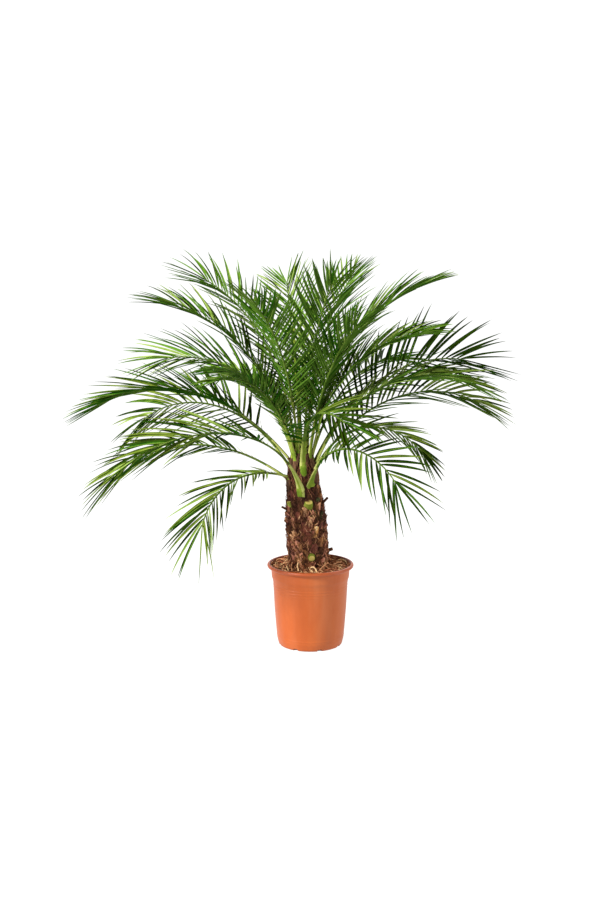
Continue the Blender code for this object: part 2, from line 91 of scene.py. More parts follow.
# Drain holes, then notches in the foot: how many, first angle, part of a step that they are turned on by,
# radius of their circle, segments, lower and upper radius, and depth.
POT_CUTS = (
    (8, 0, 0.5, 0.058, 24, 0.006, 0.006, 0.012),
    (8, -118, 0, FOOT_RADIUS, 20, 0.009, 0.00648, 0.012),
)

# Soil.
SOIL_HEIGHT = 0.222
SOIL_FLOOR = POT_FLOOR + 0.0003
SOIL_GAP = 0.0006
SOIL_SIDES = 120
SOIL_RINGS = 40
# The last two places are the rim's slope, which loose bits lie against.
SOIL_RADII = (0, 0.08, 0.096, 0.1064, 0.1085, 0.1115)
SOIL_LEVELS = (SOIL_HEIGHT, SOIL_HEIGHT, SOIL_HEIGHT - 0.0006, 0.22, 0.2236, 0.2262)
# Loose bits lie between the trunk and the mat's edge.
MAT_START = 0.05
MAT_RADIUS = 0.1092
CRUMB_COUNT = 2600
CRUMB_SIZES = (0.001, 0.0034)
COIR_COUNT = 1700
COIR_LENGTHS = (0.008, 0.03)
COIR_RADII = (0.00045, 0.00105)
COIR_TAPER = (0.35, 0.8, 1, 1, 1, 1, 0.9, 0.7, 0.3)
THIN_ROOTS = 120
THIN_ROOTS_IN_FRONT = 70
THIN_ROOT_RISE = (0.003, 0.026)
THIN_ROOT_REACH = (0.006, 0.034)
THIN_ROOT_RADII = (0.0007, 0.0017)
ROOT_LOOPS = 16
LOOP_PLACES = (0.072, 0.098)
LOOP_HALF_WIDTHS = (0.006, 0.013)
LOOP_RADII = (0.0017, 0.0011)
LOOP_LIMIT = 0.1045
THICK_ROOT_RINGS = 14
# Mean direction, and its spread, in degrees.
FRONT_DIRECTION = (-105, 48)
LOOP_DIRECTION = (-96, 50)
# Odds of each earth, in the order in which the piece lists its materials.
CRUMB_ODDS = (0.42, 0.26, 0.16, 0.16)
COIR_ODDS = (0.27, 0.25, 0.09, 0.2, 0.19)
THIN_ROOT_ODDS = (0.3, 0.12, 0.32, 0.26)
LOOP_ODDS = (0.4, 0.2, 0.2, 0.2)

# Trunk.
TRUNK_FOOT = SOIL_HEIGHT + 0.0003
TRUNK_TOP = 0.562
TRUNK_FOOT_X = -0.004
TRUNK_LEAN = 0.064
TRUNK_HEIGHTS = (0.222, 0.234, 0.255, 0.3, 0.37, 0.405, 0.44, 0.47, 0.5, 0.525, 0.548, 0.562)
TRUNK_RADII = (0.054, 0.0524, 0.0514, 0.052, 0.0505, 0.0455, 0.0415, 0.039, 0.033, 0.026, 0.0165, 0.01)
CORE_RINGS = 230
CORE_SIDES = 168
GOLDEN_ANGLE = 137.508
BASE_COUNT = 96
FIRST_BASE = TRUNK_FOOT - 0.012
BASE_RISE = 0.0023
BASE_HALF_WIDTH = 0.019
BASE_HEIGHT = 0.03
BASE_DEPTH = 0.0065
BASE_GRID = 15
BASE_TURN_SPREAD = 0.05
BASE_RISE_SPREAD = 0.0012
BASE_SIZES = (0.84, 1.12)
BASE_TALLNESS = (0.92, 1.18)
BASE_LEAN_SPREAD = 0.16
BASE_NARROWING = 0.42
RELIEF_END = 0.47
RELIEF_FADE = 0.05

# Barks: name, places on the colour ramp and their colours.
BARK = (
    ("bark_dark", (0.28, 0.52, 0.76), (0.016, 0.006, 0.003), (0.084, 0.032, 0.014), (0.21, 0.088, 0.038)),
    ("bark_maroon", (0.28, 0.5, 0.76), (0.034, 0.009, 0.009), (0.15, 0.042, 0.026), (0.36, 0.13, 0.068)),
    ("bark_brown", (0.28, 0.5, 0.76), (0.051, 0.018, 0.009), (0.223, 0.09, 0.033), (0.524, 0.256, 0.098)),
    ("bark_tan", (0.26, 0.48, 0.74), (0.15, 0.06, 0.026), (0.5, 0.24, 0.108), (0.88, 0.54, 0.3)),
    ("bark_pink", (0.26, 0.48, 0.74), (0.15, 0.042, 0.03), (0.5, 0.19, 0.112), (0.88, 0.48, 0.31)),
    # bark_orange is only on the spot at azimuth 284; its pale cream top colour is a painted highlight.
    ("bark_orange", (0.26, 0.46, 0.74), (0.23, 0.085, 0.02), (0.7, 0.34, 0.1), (0.98, 0.85, 0.48)),
    ("bark_olive", (0.28, 0.52, 0.76), (0.013, 0.014, 0.005), (0.053, 0.053, 0.017), (0.158, 0.143, 0.05)),
)
SHEATH = ("stalk_sheath", (0.28, 0.5, 0.76),
          (0.02, 0.009, 0.004), (0.09, 0.04, 0.02), (0.24, 0.13, 0.06))
DARK, MAROON, BROWN, TAN, PINK, ORANGE, OLIVE = range(len(BARK))
# Odds of the first five barks on a leaf base's face, and of its own bark, brown, tan and pink on its lip,
# below and above the height from which the trunk is darker.
DARKER_FROM = 0.4
LOW_ODDS = ((0.22, 0.26, 0.22, 0.15, 0.15), (0.42, 0.18, 0.22, 0.18))
HIGH_ODDS = ((0.46, 0.36, 0.16, 0.01, 0.01), (0.7, 0.26, 0.02, 0.02))
# Leaf bases whose colour stands out: azimuth, height and colour. Each takes in bases up to a distance. They
# are partly the bases' own colours and partly painted light: the tan, pink and orange spots on the left and
# front, where the key light falls, carry painted highlights, and the dark and olive spots on the front right
# carry painted shade.
BASE_SPOTS = (
    (286, 0.356, TAN), (284, 0.326, ORANGE), (254, 0.278, PINK), (336, 0.288, MAROON), (216, 0.35, PINK),
    (222, 0.318, TAN), (232, 0.29, PINK), (230, 0.384, PINK), (298, 0.385, OLIVE), (316, 0.372, OLIVE),
    (244, 0.34, MAROON), (262, 0.308, MAROON), (300, 0.3, BROWN), (322, 0.332, DARK), (268, 0.372, BROWN),
    (250, 0.398, MAROON), (318, 0.262, DARK), (284, 0.286, MAROON), (240, 0.264, TAN), (212, 0.268, PINK),
)
SPOT_REACH = 0.016
SPOT_RADIUS = 0.055
# Strands of the sheath: how many, from and to which height, slant, how far the free ones stand off,
# length, thickness, and odds of the first five barks.
FIBRES = (
    (1100, TRUNK_FOOT, 0.392, 0.5, 0.002, 0.018, 0.00048, (0.3, 0.24, 0.2, 0.12, 0.14)),
    (900, 0.3, 0.54, 0.22, 0.0012, 0.034, 0.00045, (0.38, 0.34, 0.2, 0.05, 0.03)),
    (460, TRUNK_FOOT, 0.385, 0.45, 0.0018, 0.013, 0.00125, (0.08, 0.18, 0.22, 0.26, 0.26)),
    (380, TRUNK_FOOT, 0.5, 0.5, 0.0045, 0.026, 0.0004, (0.5, 0.3, 0.16, 0.02, 0.02)),
    (420, 0.4, 0.53, 0.3, 0.0042, 0.034, 0.0006, (0.48, 0.28, 0.18, 0.04, 0.02)),
)
FIBRE_TAPER = (0.5, 1, 1, 1, 0.95, 0.85, 0.7, 0.35)
# Cut stalks: azimuth, height, rise, reach, width, depth and colour: 0 dry, 1 green and pale, 2 olive.
CUT_STALKS = (
    (192, 0.384, 30, 0.016, 0.008, 0.006, 0),
    (345, 0.402, 48, 0.022, 0.009, 0.007, 0),
    (352, 0.268, 18, 0.014, 0.012, 0.009, 0),
    (282, 0.408, 56, 0.005, 0.022, 0.018, 1),
    (214, 0.4, 68, 0.01, 0.014, 0.01, 1),
    (318, 0.416, 40, 0.004, 0.012, 0.01, 2),
    (279, 0.259, -16, 0.006, 0.018, 0.018, 1),
    (60, 0.395, 40, 0.012, 0.016, 0.01, 0),
    (100, 0.3, 30, 0.009, 0.015, 0.01, 0),
    (140, 0.41, 44, 0.014, 0.014, 0.009, 1),
    (25, 0.33, 32, 0.009, 0.014, 0.01, 0),
    (165, 0.345, 30, 0.008, 0.013, 0.009, 0),
)
# Slots of a cut stalk's side and cut face, by colour, and its swell at each ring.
STALK_SLOTS = ((0, 0), (1, 2), (3, 3))
STALK_SWELLS = np.array([1.25, 1.15, 1.08, 1.02, 1, 0.9])
STALK_SIDES = 16
STALK_POWER = 2.3

# Thick roots at the foot: radius, colour (0 tan, 1 pale, 3 red), and corners of the path.
FRONT_ROOTS = (
    (0.0022, 1, (-0.06, -0.01, 0.232), (-0.066, -0.032, 0.228), (-0.062, -0.055, 0.226),
     (-0.058, -0.08, 0.22)),
    (0.0018, 0, (-0.05, -0.034, 0.24), (-0.054, -0.05, 0.231), (-0.05, -0.066, 0.226),
     (-0.054, -0.084, 0.22)),
    (0.0019, 1, (-0.034, -0.05, 0.243), (-0.037, -0.06, 0.234), (-0.033, -0.07, 0.228),
     (-0.035, -0.086, 0.22)),
    (0.0026, 1, (-0.002, -0.068, 0.222), (-0.001, -0.066, 0.233), (0.008, -0.068, 0.236),
     (0.015, -0.078, 0.23), (0.018, -0.098, 0.221)),
    (0.0022, 1, (-0.001, -0.068, 0.226), (0.004, -0.08, 0.227), (0.009, -0.096, 0.221)),
    (0.0021, 0, (0.048, -0.03, 0.238), (0.038, -0.048, 0.235), (0.026, -0.064, 0.228), (0.02, -0.074, 0.22)),
    (0.002, 1, (0.07, 0.046, 0.221), (0.086, 0.054, 0.228), (0.099, 0.034, 0.227), (0.104, 0.004, 0.22)),
    (0.002, 0, (0.058, -0.016, 0.221), (0.074, 0.012, 0.229), (0.092, 0.012, 0.226), (0.102, -0.012, 0.22)),
    (0.0019, 0, (-0.1, 0.04, 0.221), (-0.09, 0.052, 0.229), (-0.074, 0.048, 0.228), (-0.064, 0.03, 0.221)),
    (0.0021, 0, (-0.078, 0.004, 0.221), (-0.072, -0.03, 0.228), (-0.078, -0.052, 0.226),
     (-0.07, -0.074, 0.22)),
    (0.0018, 3, (0.03, -0.072, 0.221), (0.046, -0.07, 0.229), (0.062, -0.06, 0.228), (0.078, -0.06, 0.22)),
    (0.0016, 0, (-0.024, -0.076, 0.22), (-0.014, -0.086, 0.228), (-0.002, -0.094, 0.221)),
)

# Dark and light colours of the earths, and of the leaves, with the cut face's roughness and specular.
EARTHS = (
    ("soil_dark", (0.015, 0.006, 0.002), (0.078, 0.028, 0.012)),
    ("soil_brown", (0.072, 0.023, 0.01), (0.261, 0.095, 0.036)),
    ("soil_red", (0.118, 0.028, 0.014), (0.392, 0.119, 0.051)),
    ("soil_tan", (0.287, 0.113, 0.051), (0.731, 0.353, 0.169)),
    ("root_pale", (0.6, 0.311, 0.14), (0.95, 0.673, 0.353)),
)
LEAVES = (
    # leaf_dark is painted shade: a near-black green for whole leaflets that stand in shade. leaf_deep, a
    # dark green, is partly painted shade.
    ("leaf_dark", (0.006, 0.012, 0.001), (0.019, 0.034, 0.001)),
    ("leaf_mid", (0.036, 0.108, 0.004), (0.084, 0.192, 0.014)),
    ("leaf_light", (0.104, 0.176, 0.024), (0.205, 0.28, 0.066)),
    ("leaf_deep", (0.006, 0.038, 0.001), (0.02, 0.086, 0.003)),
    ("leaf_midrib", (0.1, 0.16, 0.014), (0.21, 0.26, 0.05)),
    ("leaf_underside", (0.026, 0.066, 0.005), (0.062, 0.124, 0.014)),
    ("leaf_olive", (0.036, 0.062, 0.004), (0.084, 0.122, 0.014)),
    ("stalk_green", (0.084, 0.14, 0.011), (0.2, 0.255, 0.032)),
    ("stalk_edge", (0.185, 0.23, 0.038), (0.36, 0.37, 0.115)),
    ("rib_green", (0.04, 0.08, 0.008), (0.095, 0.15, 0.022)),
    ("stalk_olive", (0.026, 0.036, 0.005), (0.066, 0.082, 0.016)),
    ("spine_yellow", (0.15, 0.18, 0.045), (0.26, 0.26, 0.09)),
    ("cut_face", (0.34, 0.29, 0.05), (0.52, 0.4, 0.13), 0.7, 0.1),
    ("cut_green", (0.085, 0.115, 0.01), (0.2, 0.22, 0.035)),
)

# Fronds: azimuth (0 is +X, 90 is the back), launch angle, bend, rib length, base height,
# sweep to the left, roll, which lowers the left side as seen from the trunk, and spread of the leaflets.
FRONDS = (
    (206, 21, 90, 0.365, 0.468, 26, 10, 1.05),
    (184, 38, 84, 0.55, 0.45, 6, 14, 0.9),
    (256, 50, 76, 0.605, 0.424, -66, 12, 0.9),
    (165, 59, 98, 0.53, 0.468, 4, 36, 1.1),
    (184, 52, 77, 0.585, 0.502, 5, 6, 0.85),
    (140, 74, 84, 0.42, 0.508, 9, 10, 1),
    (204, 76, 85, 0.525, 0.497, -11, 20, 1.15),
    (180, 79, 64, 0.575, 0.508, -7, 12, 1),
    (149, 83, 56, 0.575, 0.53, 11, 20, 1.15),
    (106, 82, 51, 0.55, 0.53, -12, 30, 1),
    (48, 87, 46, 0.545, 0.53, 0, -8, 1.12),
    (12, 82, 61, 0.58, 0.522, 0, 0, 0.6),
    (346, 84, 78, 0.54, 0.482, 0, -26, 0.6),
    (10, 66, 74, 0.56, 0.488, -5, -38, 1.2),
    (346, 70, 88, 0.55, 0.47, 11, -10, 0.9),
    (22, 58, 84, 0.565, 0.466, -22, -22, 1),
    (322, 65, 118, 0.44, 0.46, 12, -10, 0.9),
    (288, 62, 116, 0.465, 0.415, 36, -50, 1.2),
    (262, 84, 112, 0.42, 0.44, 50, -28, 1),
    (80, 60, 66, 0.55, 0.49, 0, 10, 1),
    (120, 55, 66, 0.53, 0.48, 0, -10, 1),
    (50, 64, 74, 0.53, 0.49, 0, 0, 1),
    (242, 82, 54, 0.52, 0.524, 4, 8, 0.9),
    (289, 85, 48, 0.54, 0.534, 0, 0, 0.85),
    (229, 75, 82, 0.47, 0.484, 3, -8, 0.9),
    (320, 83, 52, 0.47, 0.5, -24, 6, 0.8),
)
BASE_RING_RADIUS = 0.02
FULL_ROLL_SHARE = 0.4
BEND_POWER = 1.4
PATH_STEPS = 80
SEAT_CLEARANCE = 0.004
RIB_SHARES = (0, 0.09, 0.2, 0.6, 1)
RIB_WIDTHS = (0.0145, 0.0092, 0.0062, 0.0048, 0.003)
RIB_DEPTHS = (0.0085, 0.0072, 0.006, 0.0046, 0.003)
# Stalks whose green foot shows on the trunk: drop below the seat, turn of the lower end, width, the
# length over which the stalk narrows, and the ring up to which it is bright.
GREEN_CLASPS = {
    3: (0.036, 3, 1.05, 0.065, 15),
    18: (0.006, 8, 1.15, 0.08, 16),
    19: (0.034, 0, 0.86, 0.16, 22),
}
BROWN_CLASP = (0.034, 0, 0.62, 0.026, 12)
UPRIGHT_CLASP = (0.034, 0, 0.62, 0.026, 20)
# The clasp's five rings: part of the drop, stand off the trunk, width and depth.
CLASP_STEPS = np.array([1, 0.86, 0.66, 0.44, 0.22])
CLASP_STANDS = (0.003, 0.004, 0.0045, 0.004, 0.0034)
CLASP_WIDTHS = np.array([0.014, 0.0212, 0.023, 0.0222, 0.0208])
CLASP_DEPTHS = (0.005, 0.0072, 0.0082, 0.0086, 0.0088)
CLASP_NECK = 0.0205
CLASP_ROUNDING = 0.006
RIB_SIDES = 10
STALK_RINGS = 18
LEAFY_RINGS = 30
RIB_POWER = 2.6
NARROW_SIDES = (0, 4, 5, 9)
STALK_END_RING = 22
# Further sides of a green foot that are as pale as its edges, each with the ring that it starts at.
PALE_SIDES = {3: ((6, 4), (8, 1)), 19: ((6, 4),)}

# Leaflets. Below the first of them a share of the rib is bare.
COMMON_BARE = 0.36
OWN_BARE = {1: 0.27, 3: 0.48}
LEAFLET_LENGTH = 0.19
NOMINAL_FROND = 0.55
LEAFLET_SIZE_POWER = 0.3
LEAFLET_DROOP = 0.55
LEAFLET_ANGLE = 55
ANGLE_LOSS_TO_TIP = 31
ANGLE_SPREAD = 3.4
LEAFLET_LIFT = 25
LIFT_SPREAD = 6.5
LIFT_LOSS_TO_TIP = 10
LIFT_LOSS_PER_BEND = 0.4
LIFT_LOSS_PER_LOW_LAUNCH = 0.5
FREE_BEND = 54
FREE_LAUNCH = 50
# Shares of the full length at places along a frond, for most fronds and for those that differ.
REACH_PLACES = (-0.3, 0, 0.25, 0.6, 1)
COMMON_REACH = (0.2, 0.5, 0.95, 1, 0.76)
OWN_REACH = {
    1: (0.16, 0.36, 0.8, 1.02, 0.94),
    4: (0.2, 0.53, 1, 1.05, 0.8),
    6: (0.12, 0.3, 0.55, 0.6, 0.45),
    7: (0.2, 0.53, 1, 1.05, 0.8),
    9: (0.18, 0.42, 0.78, 0.86, 0.78),
    10: (0.2, 0.5, 0.95, 1, 0.75),
    11: (0.2, 0.5, 0.95, 0.9, 0.5),
    13: (0.14, 0.35, 0.62, 0.66, 0.52),
    14: (0.12, 0.35, 0.8, 1.2, 0.92),
    17: (0.14, 0.34, 0.65, 0.68, 0.52),
    18: (0.08, 0.16, 0.32, 0.74, 0.84),
    19: (0.18, 0.45, 0.85, 0.9, 0.68),
    25: (0.12, 0.3, 0.58, 0.6, 0.46),
}
# Pairs: more to a frond than the solids carry, and most of all on the upright fronds.
FINE_PAIRS = 22
UPRIGHT_PAIRS = 31
OWN_PAIRS = {5: 25, 15: 28, 17: 21, 18: 18, 19: 20}
UPRIGHT_LAUNCH = 74
LEAFLET_WIDTH = 0.0078
UPRIGHT_WIDTH = 0.0063
OWN_WIDTH = {1: 0.0069, 5: 0.0074, 12: 0.007, 14: 0.0076, 15: 0.0072}
# Size of the left leaflets, as seen from the trunk, where they are shorter than the right ones.
LEFT_SIZE = {1: 0.76}
# How much of the common droop a frond's leaflets have, where they stand straighter.
OWN_DROOP = {5: 0.3, 14: 0.25, 18: 0.6}
# Shares of the dark, mid, light and deep greens on the fronds that are drawn darker or lighter. Much of the
# dark share is painted shade, the most on fronds 7, 8 and 14, whose leaflets are painted dark for the shade
# they stand in.
DARK_GREENS = (0.52, 0.18, 0.02, 0.28)
OWN_GREENS = {
    5: DARK_GREENS, 14: (0.8, 0.04, 0, 0.16), 18: DARK_GREENS, 19: DARK_GREENS,
    7: (0.26, 0.4, 0.16, 0.18), 8: (0.26, 0.4, 0.16, 0.18), 12: (0.06, 0.48, 0.3, 0.16),
    13: (0.2, 0.38, 0.28, 0.14), 15: (0.1, 0.34, 0.4, 0.16), 16: (0.22, 0.36, 0.28, 0.14),
    6: (0.14, 0.44, 0.27, 0.15), 25: (0.12, 0.42, 0.31, 0.15),
    2: (0.56, 0.22, 0.09, 0.13), 3: (0.56, 0.22, 0.09, 0.13),
}
# The same shares on an old frond, and how they change up to a young one. Young leaves are paler, but the
# change is partly painted light and shade: the low, outer fronds take more dark green as painted shade, and
# the upright ones in the middle of the crown more light green as painted light.
OLD_AND_SHADED_GREENS = np.array([0.43, 0.32, 0.12, 0.13])
OLD_LAUNCH = 50
YOUNG_LAUNCH = 90
YOUNG_AND_LIT_CHANGE = np.array([-0.35, 0.15, 0.14, 0.06])
LEAFLET_RINGS = 10
LAST_SHARE = 0.99
# Pairs below the first place, on other fronds and on upright ones, then how far the left and right
# leaflets are shifted, and how unevenly they stand, in steps.
LOW_PAIRS = (1, 7)
PAIR_SHIFT = {1: 0.22, -1: -0.1}
PAIR_JITTER = 0.26
BLADE_SIDES = 5
BLADE_PLACES = (0, 0.05, 0.16, 0.4, 0.66, 0.86, 1)
BLADE_WIDTHS = (0.42, 0.66, 0.94, 1, 0.78, 0.42, 0)
FOLD_RISE = 0.3
MIDRIB_SHARE = 0.075
TIP_THICKNESS = 0.0003
ADDED_THICKNESS = 0.00035
# Turn of a leaflet about its length at its root, in degrees, and of its tip.
LOUVER = 24
LOUVER_SPREAD = 11
TWIST_SPREAD = 18
# Where a leaflet starts, as shares of the rib's width and depth.
ROOT_OUT = 0.4
ROOT_UP = 0.15
# The last two pairs: shares along the rib, turn inwards, width and size.
TIP_SHARES = np.array([0.994, 0.998])
TIP_TURN = np.array([7, 15])
TIP_WIDTH = 0.85
TIP_SIZE = 0.94
# Spines on one side of a stalk: places below the first leaflet and lengths.
SPINE_PLACES = np.linspace(-0.125, -0.022, 5)
SPINE_LENGTHS = np.linspace(0.012, 0.055, 5)
SPINE_OUT = 0.42
SPINE_TAPER = np.array([1, 0.85, 0.62, 0.38, 0.06])
SPINE_RADIUS = 0.0008
SPINE_ANGLES = (34, 56)
SPINE_LIFTS = (5, 30)
SPINE_DROOP = 1.2
SPINE_ODDS = (0.3, 0.3, 0.4)
SPEAR_LENGTH = 0.36
SPEAR_RADIUS = 0.005
SPEAR_RINGS = 26
SPEAR_SHARES = (0, 0.3, 0.7, 1)
SPEAR_SWELLS = (1, 1.12, 0.78, 0.1)


def linked(item):
    bpy.context.scene.collection.objects.link(item)
    return item


def new_item(name, mesh, materials, sharp):
    """An object of a mesh, shaded smooth apart from the edges sharper than an angle."""
    for material in materials:
        mesh.materials.append(material)
    mesh.shade_smooth()
    mesh.set_sharp_from_angle(angle=math.radians(sharp))
    return linked(bpy.data.objects.new(name, mesh))


class Shape:
    """Collects points and faces, with a material slot for each face, and makes one mesh of them."""

    def __init__(self):
        self.points, self.faces, self.slots = [], [], []

    def add(self, points, *parts):
        """K alike pieces, whose points are K by N by 3.

        Each part is the faces of one piece, M by C, and their slots: one number, M, K by 1 or K by M.
        """
        points = points.reshape(len(points), -1, 3)
        start = len(self.points) + points.shape[1] * np.arange(len(points))[:, None, None]
        for faces, slots in parts:
            faces = np.asarray(faces) + start
            self.faces += faces.reshape(-1, faces.shape[2]).tolist()
            self.slots += np.broadcast_to(slots, faces.shape[:2]).ravel().tolist()
        self.points += points.reshape(-1, 3).tolist()

    def make(self, name, materials, sharp=40):
        mesh = bpy.data.meshes.new(name)
        mesh.from_pydata(self.points, [], self.faces)
        mesh.polygons.foreach_set("material_index", self.slots)
        mesh.validate()
        return new_item(name, mesh, materials, sharp)


def dress(item, slot, *nodes):
    """The piece rides on the plant's one body and stands for its nodes, which it hides. The slot is not
    used.
    """
    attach(item, "root")
    if nodes:
        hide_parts(*nodes)


def triples(first, second, third=0):
    """Rows of three, such as points, from their columns."""
    return np.stack(np.broadcast_arrays(first, second, third), axis=-1)


def polar(radius, angle, height=0):
    return triples(radius * np.cos(angle), radius * np.sin(angle), height)


def sideways(angle):
    """Level vectors to the left of an azimuth."""
    return triples(-np.sin(angle), np.cos(angle))


def rotated(first, second, angle):
    """Two vectors, or two coordinates, turned in their plane."""
    return first * np.cos(angle) + second * np.sin(angle), second * np.cos(angle) - first * np.sin(angle)


def unit(vectors):
    return vectors / np.maximum(np.linalg.norm(vectors, axis=-1, keepdims=True), 1e-12)


def square_to(vectors, along):
    """Unit vectors, with what runs along others taken out."""
    return unit(vectors - along * (vectors * along).sum(axis=-1, keepdims=True))


def read_along(values, places, at):
    """Rows of three, read between those at the given places."""
    return triples(*[np.interp(at, places, column) for column in values.T])


def smooth_noise(points, scale=1):
    """Blender's own noise at each point, from -1 to 1."""
    scaled = points * np.asarray(scale)
    values = [noise.noise(Vector(point)) for point in scaled.reshape(-1, 3)]
    return np.array(values).reshape(scaled.shape[:-1])


def tube_faces(rings, sides):
    """Quads of one tube, and its two end caps."""
    ring, side = np.meshgrid(np.arange(rings - 1), np.arange(sides), indexing="ij")
    after = (side + 1) % sides
    quads = np.stack([ring * sides + side, ring * sides + after,
                      (ring + 1) * sides + after, (ring + 1) * sides + side], axis=-1).reshape(-1, 4)
    around = np.arange(sides)
    return quads, np.stack([around[::-1], around + (rings - 1) * sides])


def add_tubes(shape, paths, radii, sides, slots=0):
    """Closed tubes along K paths of P points. radii is P, or K by P; slots is one number or K of them."""
    count, rings = paths.shape[:2]
    radii = np.broadcast_to(radii, (count, rings))
    tangents = unit(np.gradient(paths, axis=1))
    is_steep = np.abs(tangents[:, :1, 2:3]) > 0.9
    first = unit(np.cross(np.where(is_steep, (1, 0, 0), (0, 0, 1)), tangents))[:, :, None]
    second = np.cross(tangents[:, :, None], first)
    turn = (np.arange(sides) * math.tau / sides)[:, None]
    points = paths[:, :, None] + rotated(first, second, turn)[0] * radii[:, :, None, None]
    quads, caps = tube_faces(rings, sides)
    slots = np.broadcast_to(slots, count)[:, None]
    shape.add(points, (quads, slots), (caps, slots))


def outline(sides, power):
    """The angles of an outline between a circle and a square, and its coordinates as columns."""
    around = np.arange(sides) * math.tau / sides
    swell = (np.abs(np.cos(around)) ** power + np.abs(np.sin(around)) ** power) ** (-1 / power)
    return around, (np.cos(around) * swell)[:, None], (np.sin(around) * swell)[:, None]


def sections(centres, sides, tops, widths, depths, x, y):
    """An outline's rings of points round P centres."""
    return (centres[:, None] + sides[:, None] * (x * widths[:, None, None] / 2)
            + tops[:, None] * (y * depths[:, None, None] / 2))


def trunk_centre(heights):
    return triples(TRUNK_FOOT_X - TRUNK_LEAN * (heights - TRUNK_FOOT), 0, heights)


def trunk_radius(heights):
    return np.interp(heights, TRUNK_HEIGHTS, TRUNK_RADII)


def around_trunk(angles, centre):
    """Angles from a centre, from minus to plus half a turn."""
    return (angles - centre + math.pi) % math.tau - math.pi


def base_relief(angles, heights):
    """How far the cut leaf bases stand out of the trunk, as on the solid."""
    order = np.arange(BASE_COUNT)
    turn = around_trunk(angles[..., None], np.radians(GOLDEN_ANGLE) * order)
    across = np.abs(turn) * trunk_radius(heights)[..., None] / BASE_HALF_WIDTH
    up = (heights[..., None] - (FIRST_BASE + BASE_RISE * order)) / BASE_HEIGHT
    inside = (across < 1) & (up >= 0) & (up <= 1)
    stand = np.where(inside, up * (1 - across ** 2), 0).max(axis=-1)
    return BASE_DEPTH * stand * np.clip((RELIEF_END - heights) / RELIEF_FADE, 0, 1)


def on_trunk(angles, heights, stand):
    """Points that stand off the trunk's plain surface by a distance."""
    reach = trunk_radius(heights) + stand
    return trunk_centre(heights) + polar(1, angles) * reach[..., None]


# Materials.


def new_material(name, roughness, specular):
    material = bpy.data.materials.new(name)
    material.use_nodes = True
    shader = material.node_tree.nodes["Principled BSDF"]
    shader.inputs["Roughness"].default_value = roughness
    shader.inputs["Specular IOR Level"].default_value = specular
    return material, material.node_tree, shader


def add_node(tree, kind, **inputs):
    """A node whose inputs are linked to other nodes' outputs or set to values."""
    node = tree.nodes.new("ShaderNode" + kind)
    for name, value in inputs.items():
        socket = node.inputs[name.replace("_", " ").title()]
        if isinstance(value, bpy.types.NodeSocket):
            tree.links.new(value, socket)
        else:
            socket.default_value = value
    return node


def noise_node(tree, scale, stretch=(1, 1, 1), detail=6, roughness=0.6):
    place = add_node(tree, "TexCoord").outputs["Object"]
    mapping = add_node(tree, "Mapping", scale=stretch, vector=place)
    texture = add_node(tree, "TexNoise", scale=scale, detail=detail, roughness=roughness,
                       vector=mapping.outputs["Vector"])
    return texture.outputs["Fac"]


def colour_ramp(tree, value, places, colours):
    ramp = add_node(tree, "ValToRGB", fac=value)
    elements = ramp.color_ramp.elements
    while len(elements) < len(places):
        elements.new(0.5)
    for element, place, colour in zip(elements, places, colours):
        element.position = place
        element.color = (*colour, 1)
    return ramp.outputs["Color"]


def value_range(tree, value, low, high, from_low, from_high):
    node = add_node(tree, "MapRange", value=value, from_min=from_low, from_max=from_high,
                    to_min=low, to_max=high)
    return node.outputs["Result"]


def mixed(tree, value, start, end, most, first, second):
    """A colour that gives way to a plain one, up to the most, as a value goes from start to end."""
    mix = tree.nodes.new("ShaderNodeMix")
    mix.data_type = "RGBA"
    tree.links.new(value_range(tree, value, 0, most, start, end), mix.inputs["Factor"])
    tree.links.new(first, mix.inputs[6])
    mix.inputs[7].default_value = (*second, 1)
    return mix.outputs[2]


def finish_material(tree, shader, colour, relief, strength, distance):
    """Gives the shader its base colour and its bump."""
    tree.links.new(colour, shader.inputs["Base Color"])
    bump = add_node(tree, "Bump", strength=strength, distance=distance, height=relief)
    tree.links.new(bump.outputs["Normal"], shader.inputs["Normal"])


def pot_material():
    """Terracotta plastic with pale streaks, partly dust and partly painted sheen, and a browner rim."""
    material, tree, shader = new_material("pot_plastic", 0.42, 0.3)
    mottle = noise_node(tree, 9, (1, 1, 0.45), 5, 0.55)
    body = colour_ramp(tree, mottle, (0.3, 0.52, 0.74),
                       ((0.3, 0.056, 0.007), (0.35, 0.07, 0.01), (0.4, 0.094, 0.018)))
    # Pale pinkish vertical streaks, partly dust and partly painted sheen.
    streaks = noise_node(tree, 26, (1, 1, 0.1), 4, 0.5)
    dust_and_sheen = mixed(tree, streaks, 0.45, 0.8, 0.22, body, (0.44, 0.19, 0.095))
    place = add_node(tree, "TexCoord").outputs["Object"]
    height = add_node(tree, "SeparateXYZ", vector=place).outputs["Z"]
    with_rim = mixed(tree, height, 0.216, 0.226, 0.75, dust_and_sheen, (0.3, 0.054, 0.012))
    tree.links.new(value_range(tree, mottle, 0.34, 0.55, 0.3, 0.7), shader.inputs["Roughness"])
    grain = noise_node(tree, 140, (1, 1, 0.6), 3, 0.5)
    finish_material(tree, shader, with_rim, grain, 0.12, 0.0006)
    return material


def earth_material(name, dark, light):
    material, tree, shader = new_material(name, 0.95, 0.1)
    grain = noise_node(tree, 160, detail=6, roughness=0.65)
    colour = colour_ramp(tree, grain, (0.3, 0.7), (dark, light))
    finish_material(tree, shader, colour, noise_node(tree, 320), 0.6, 0.001)
    return material


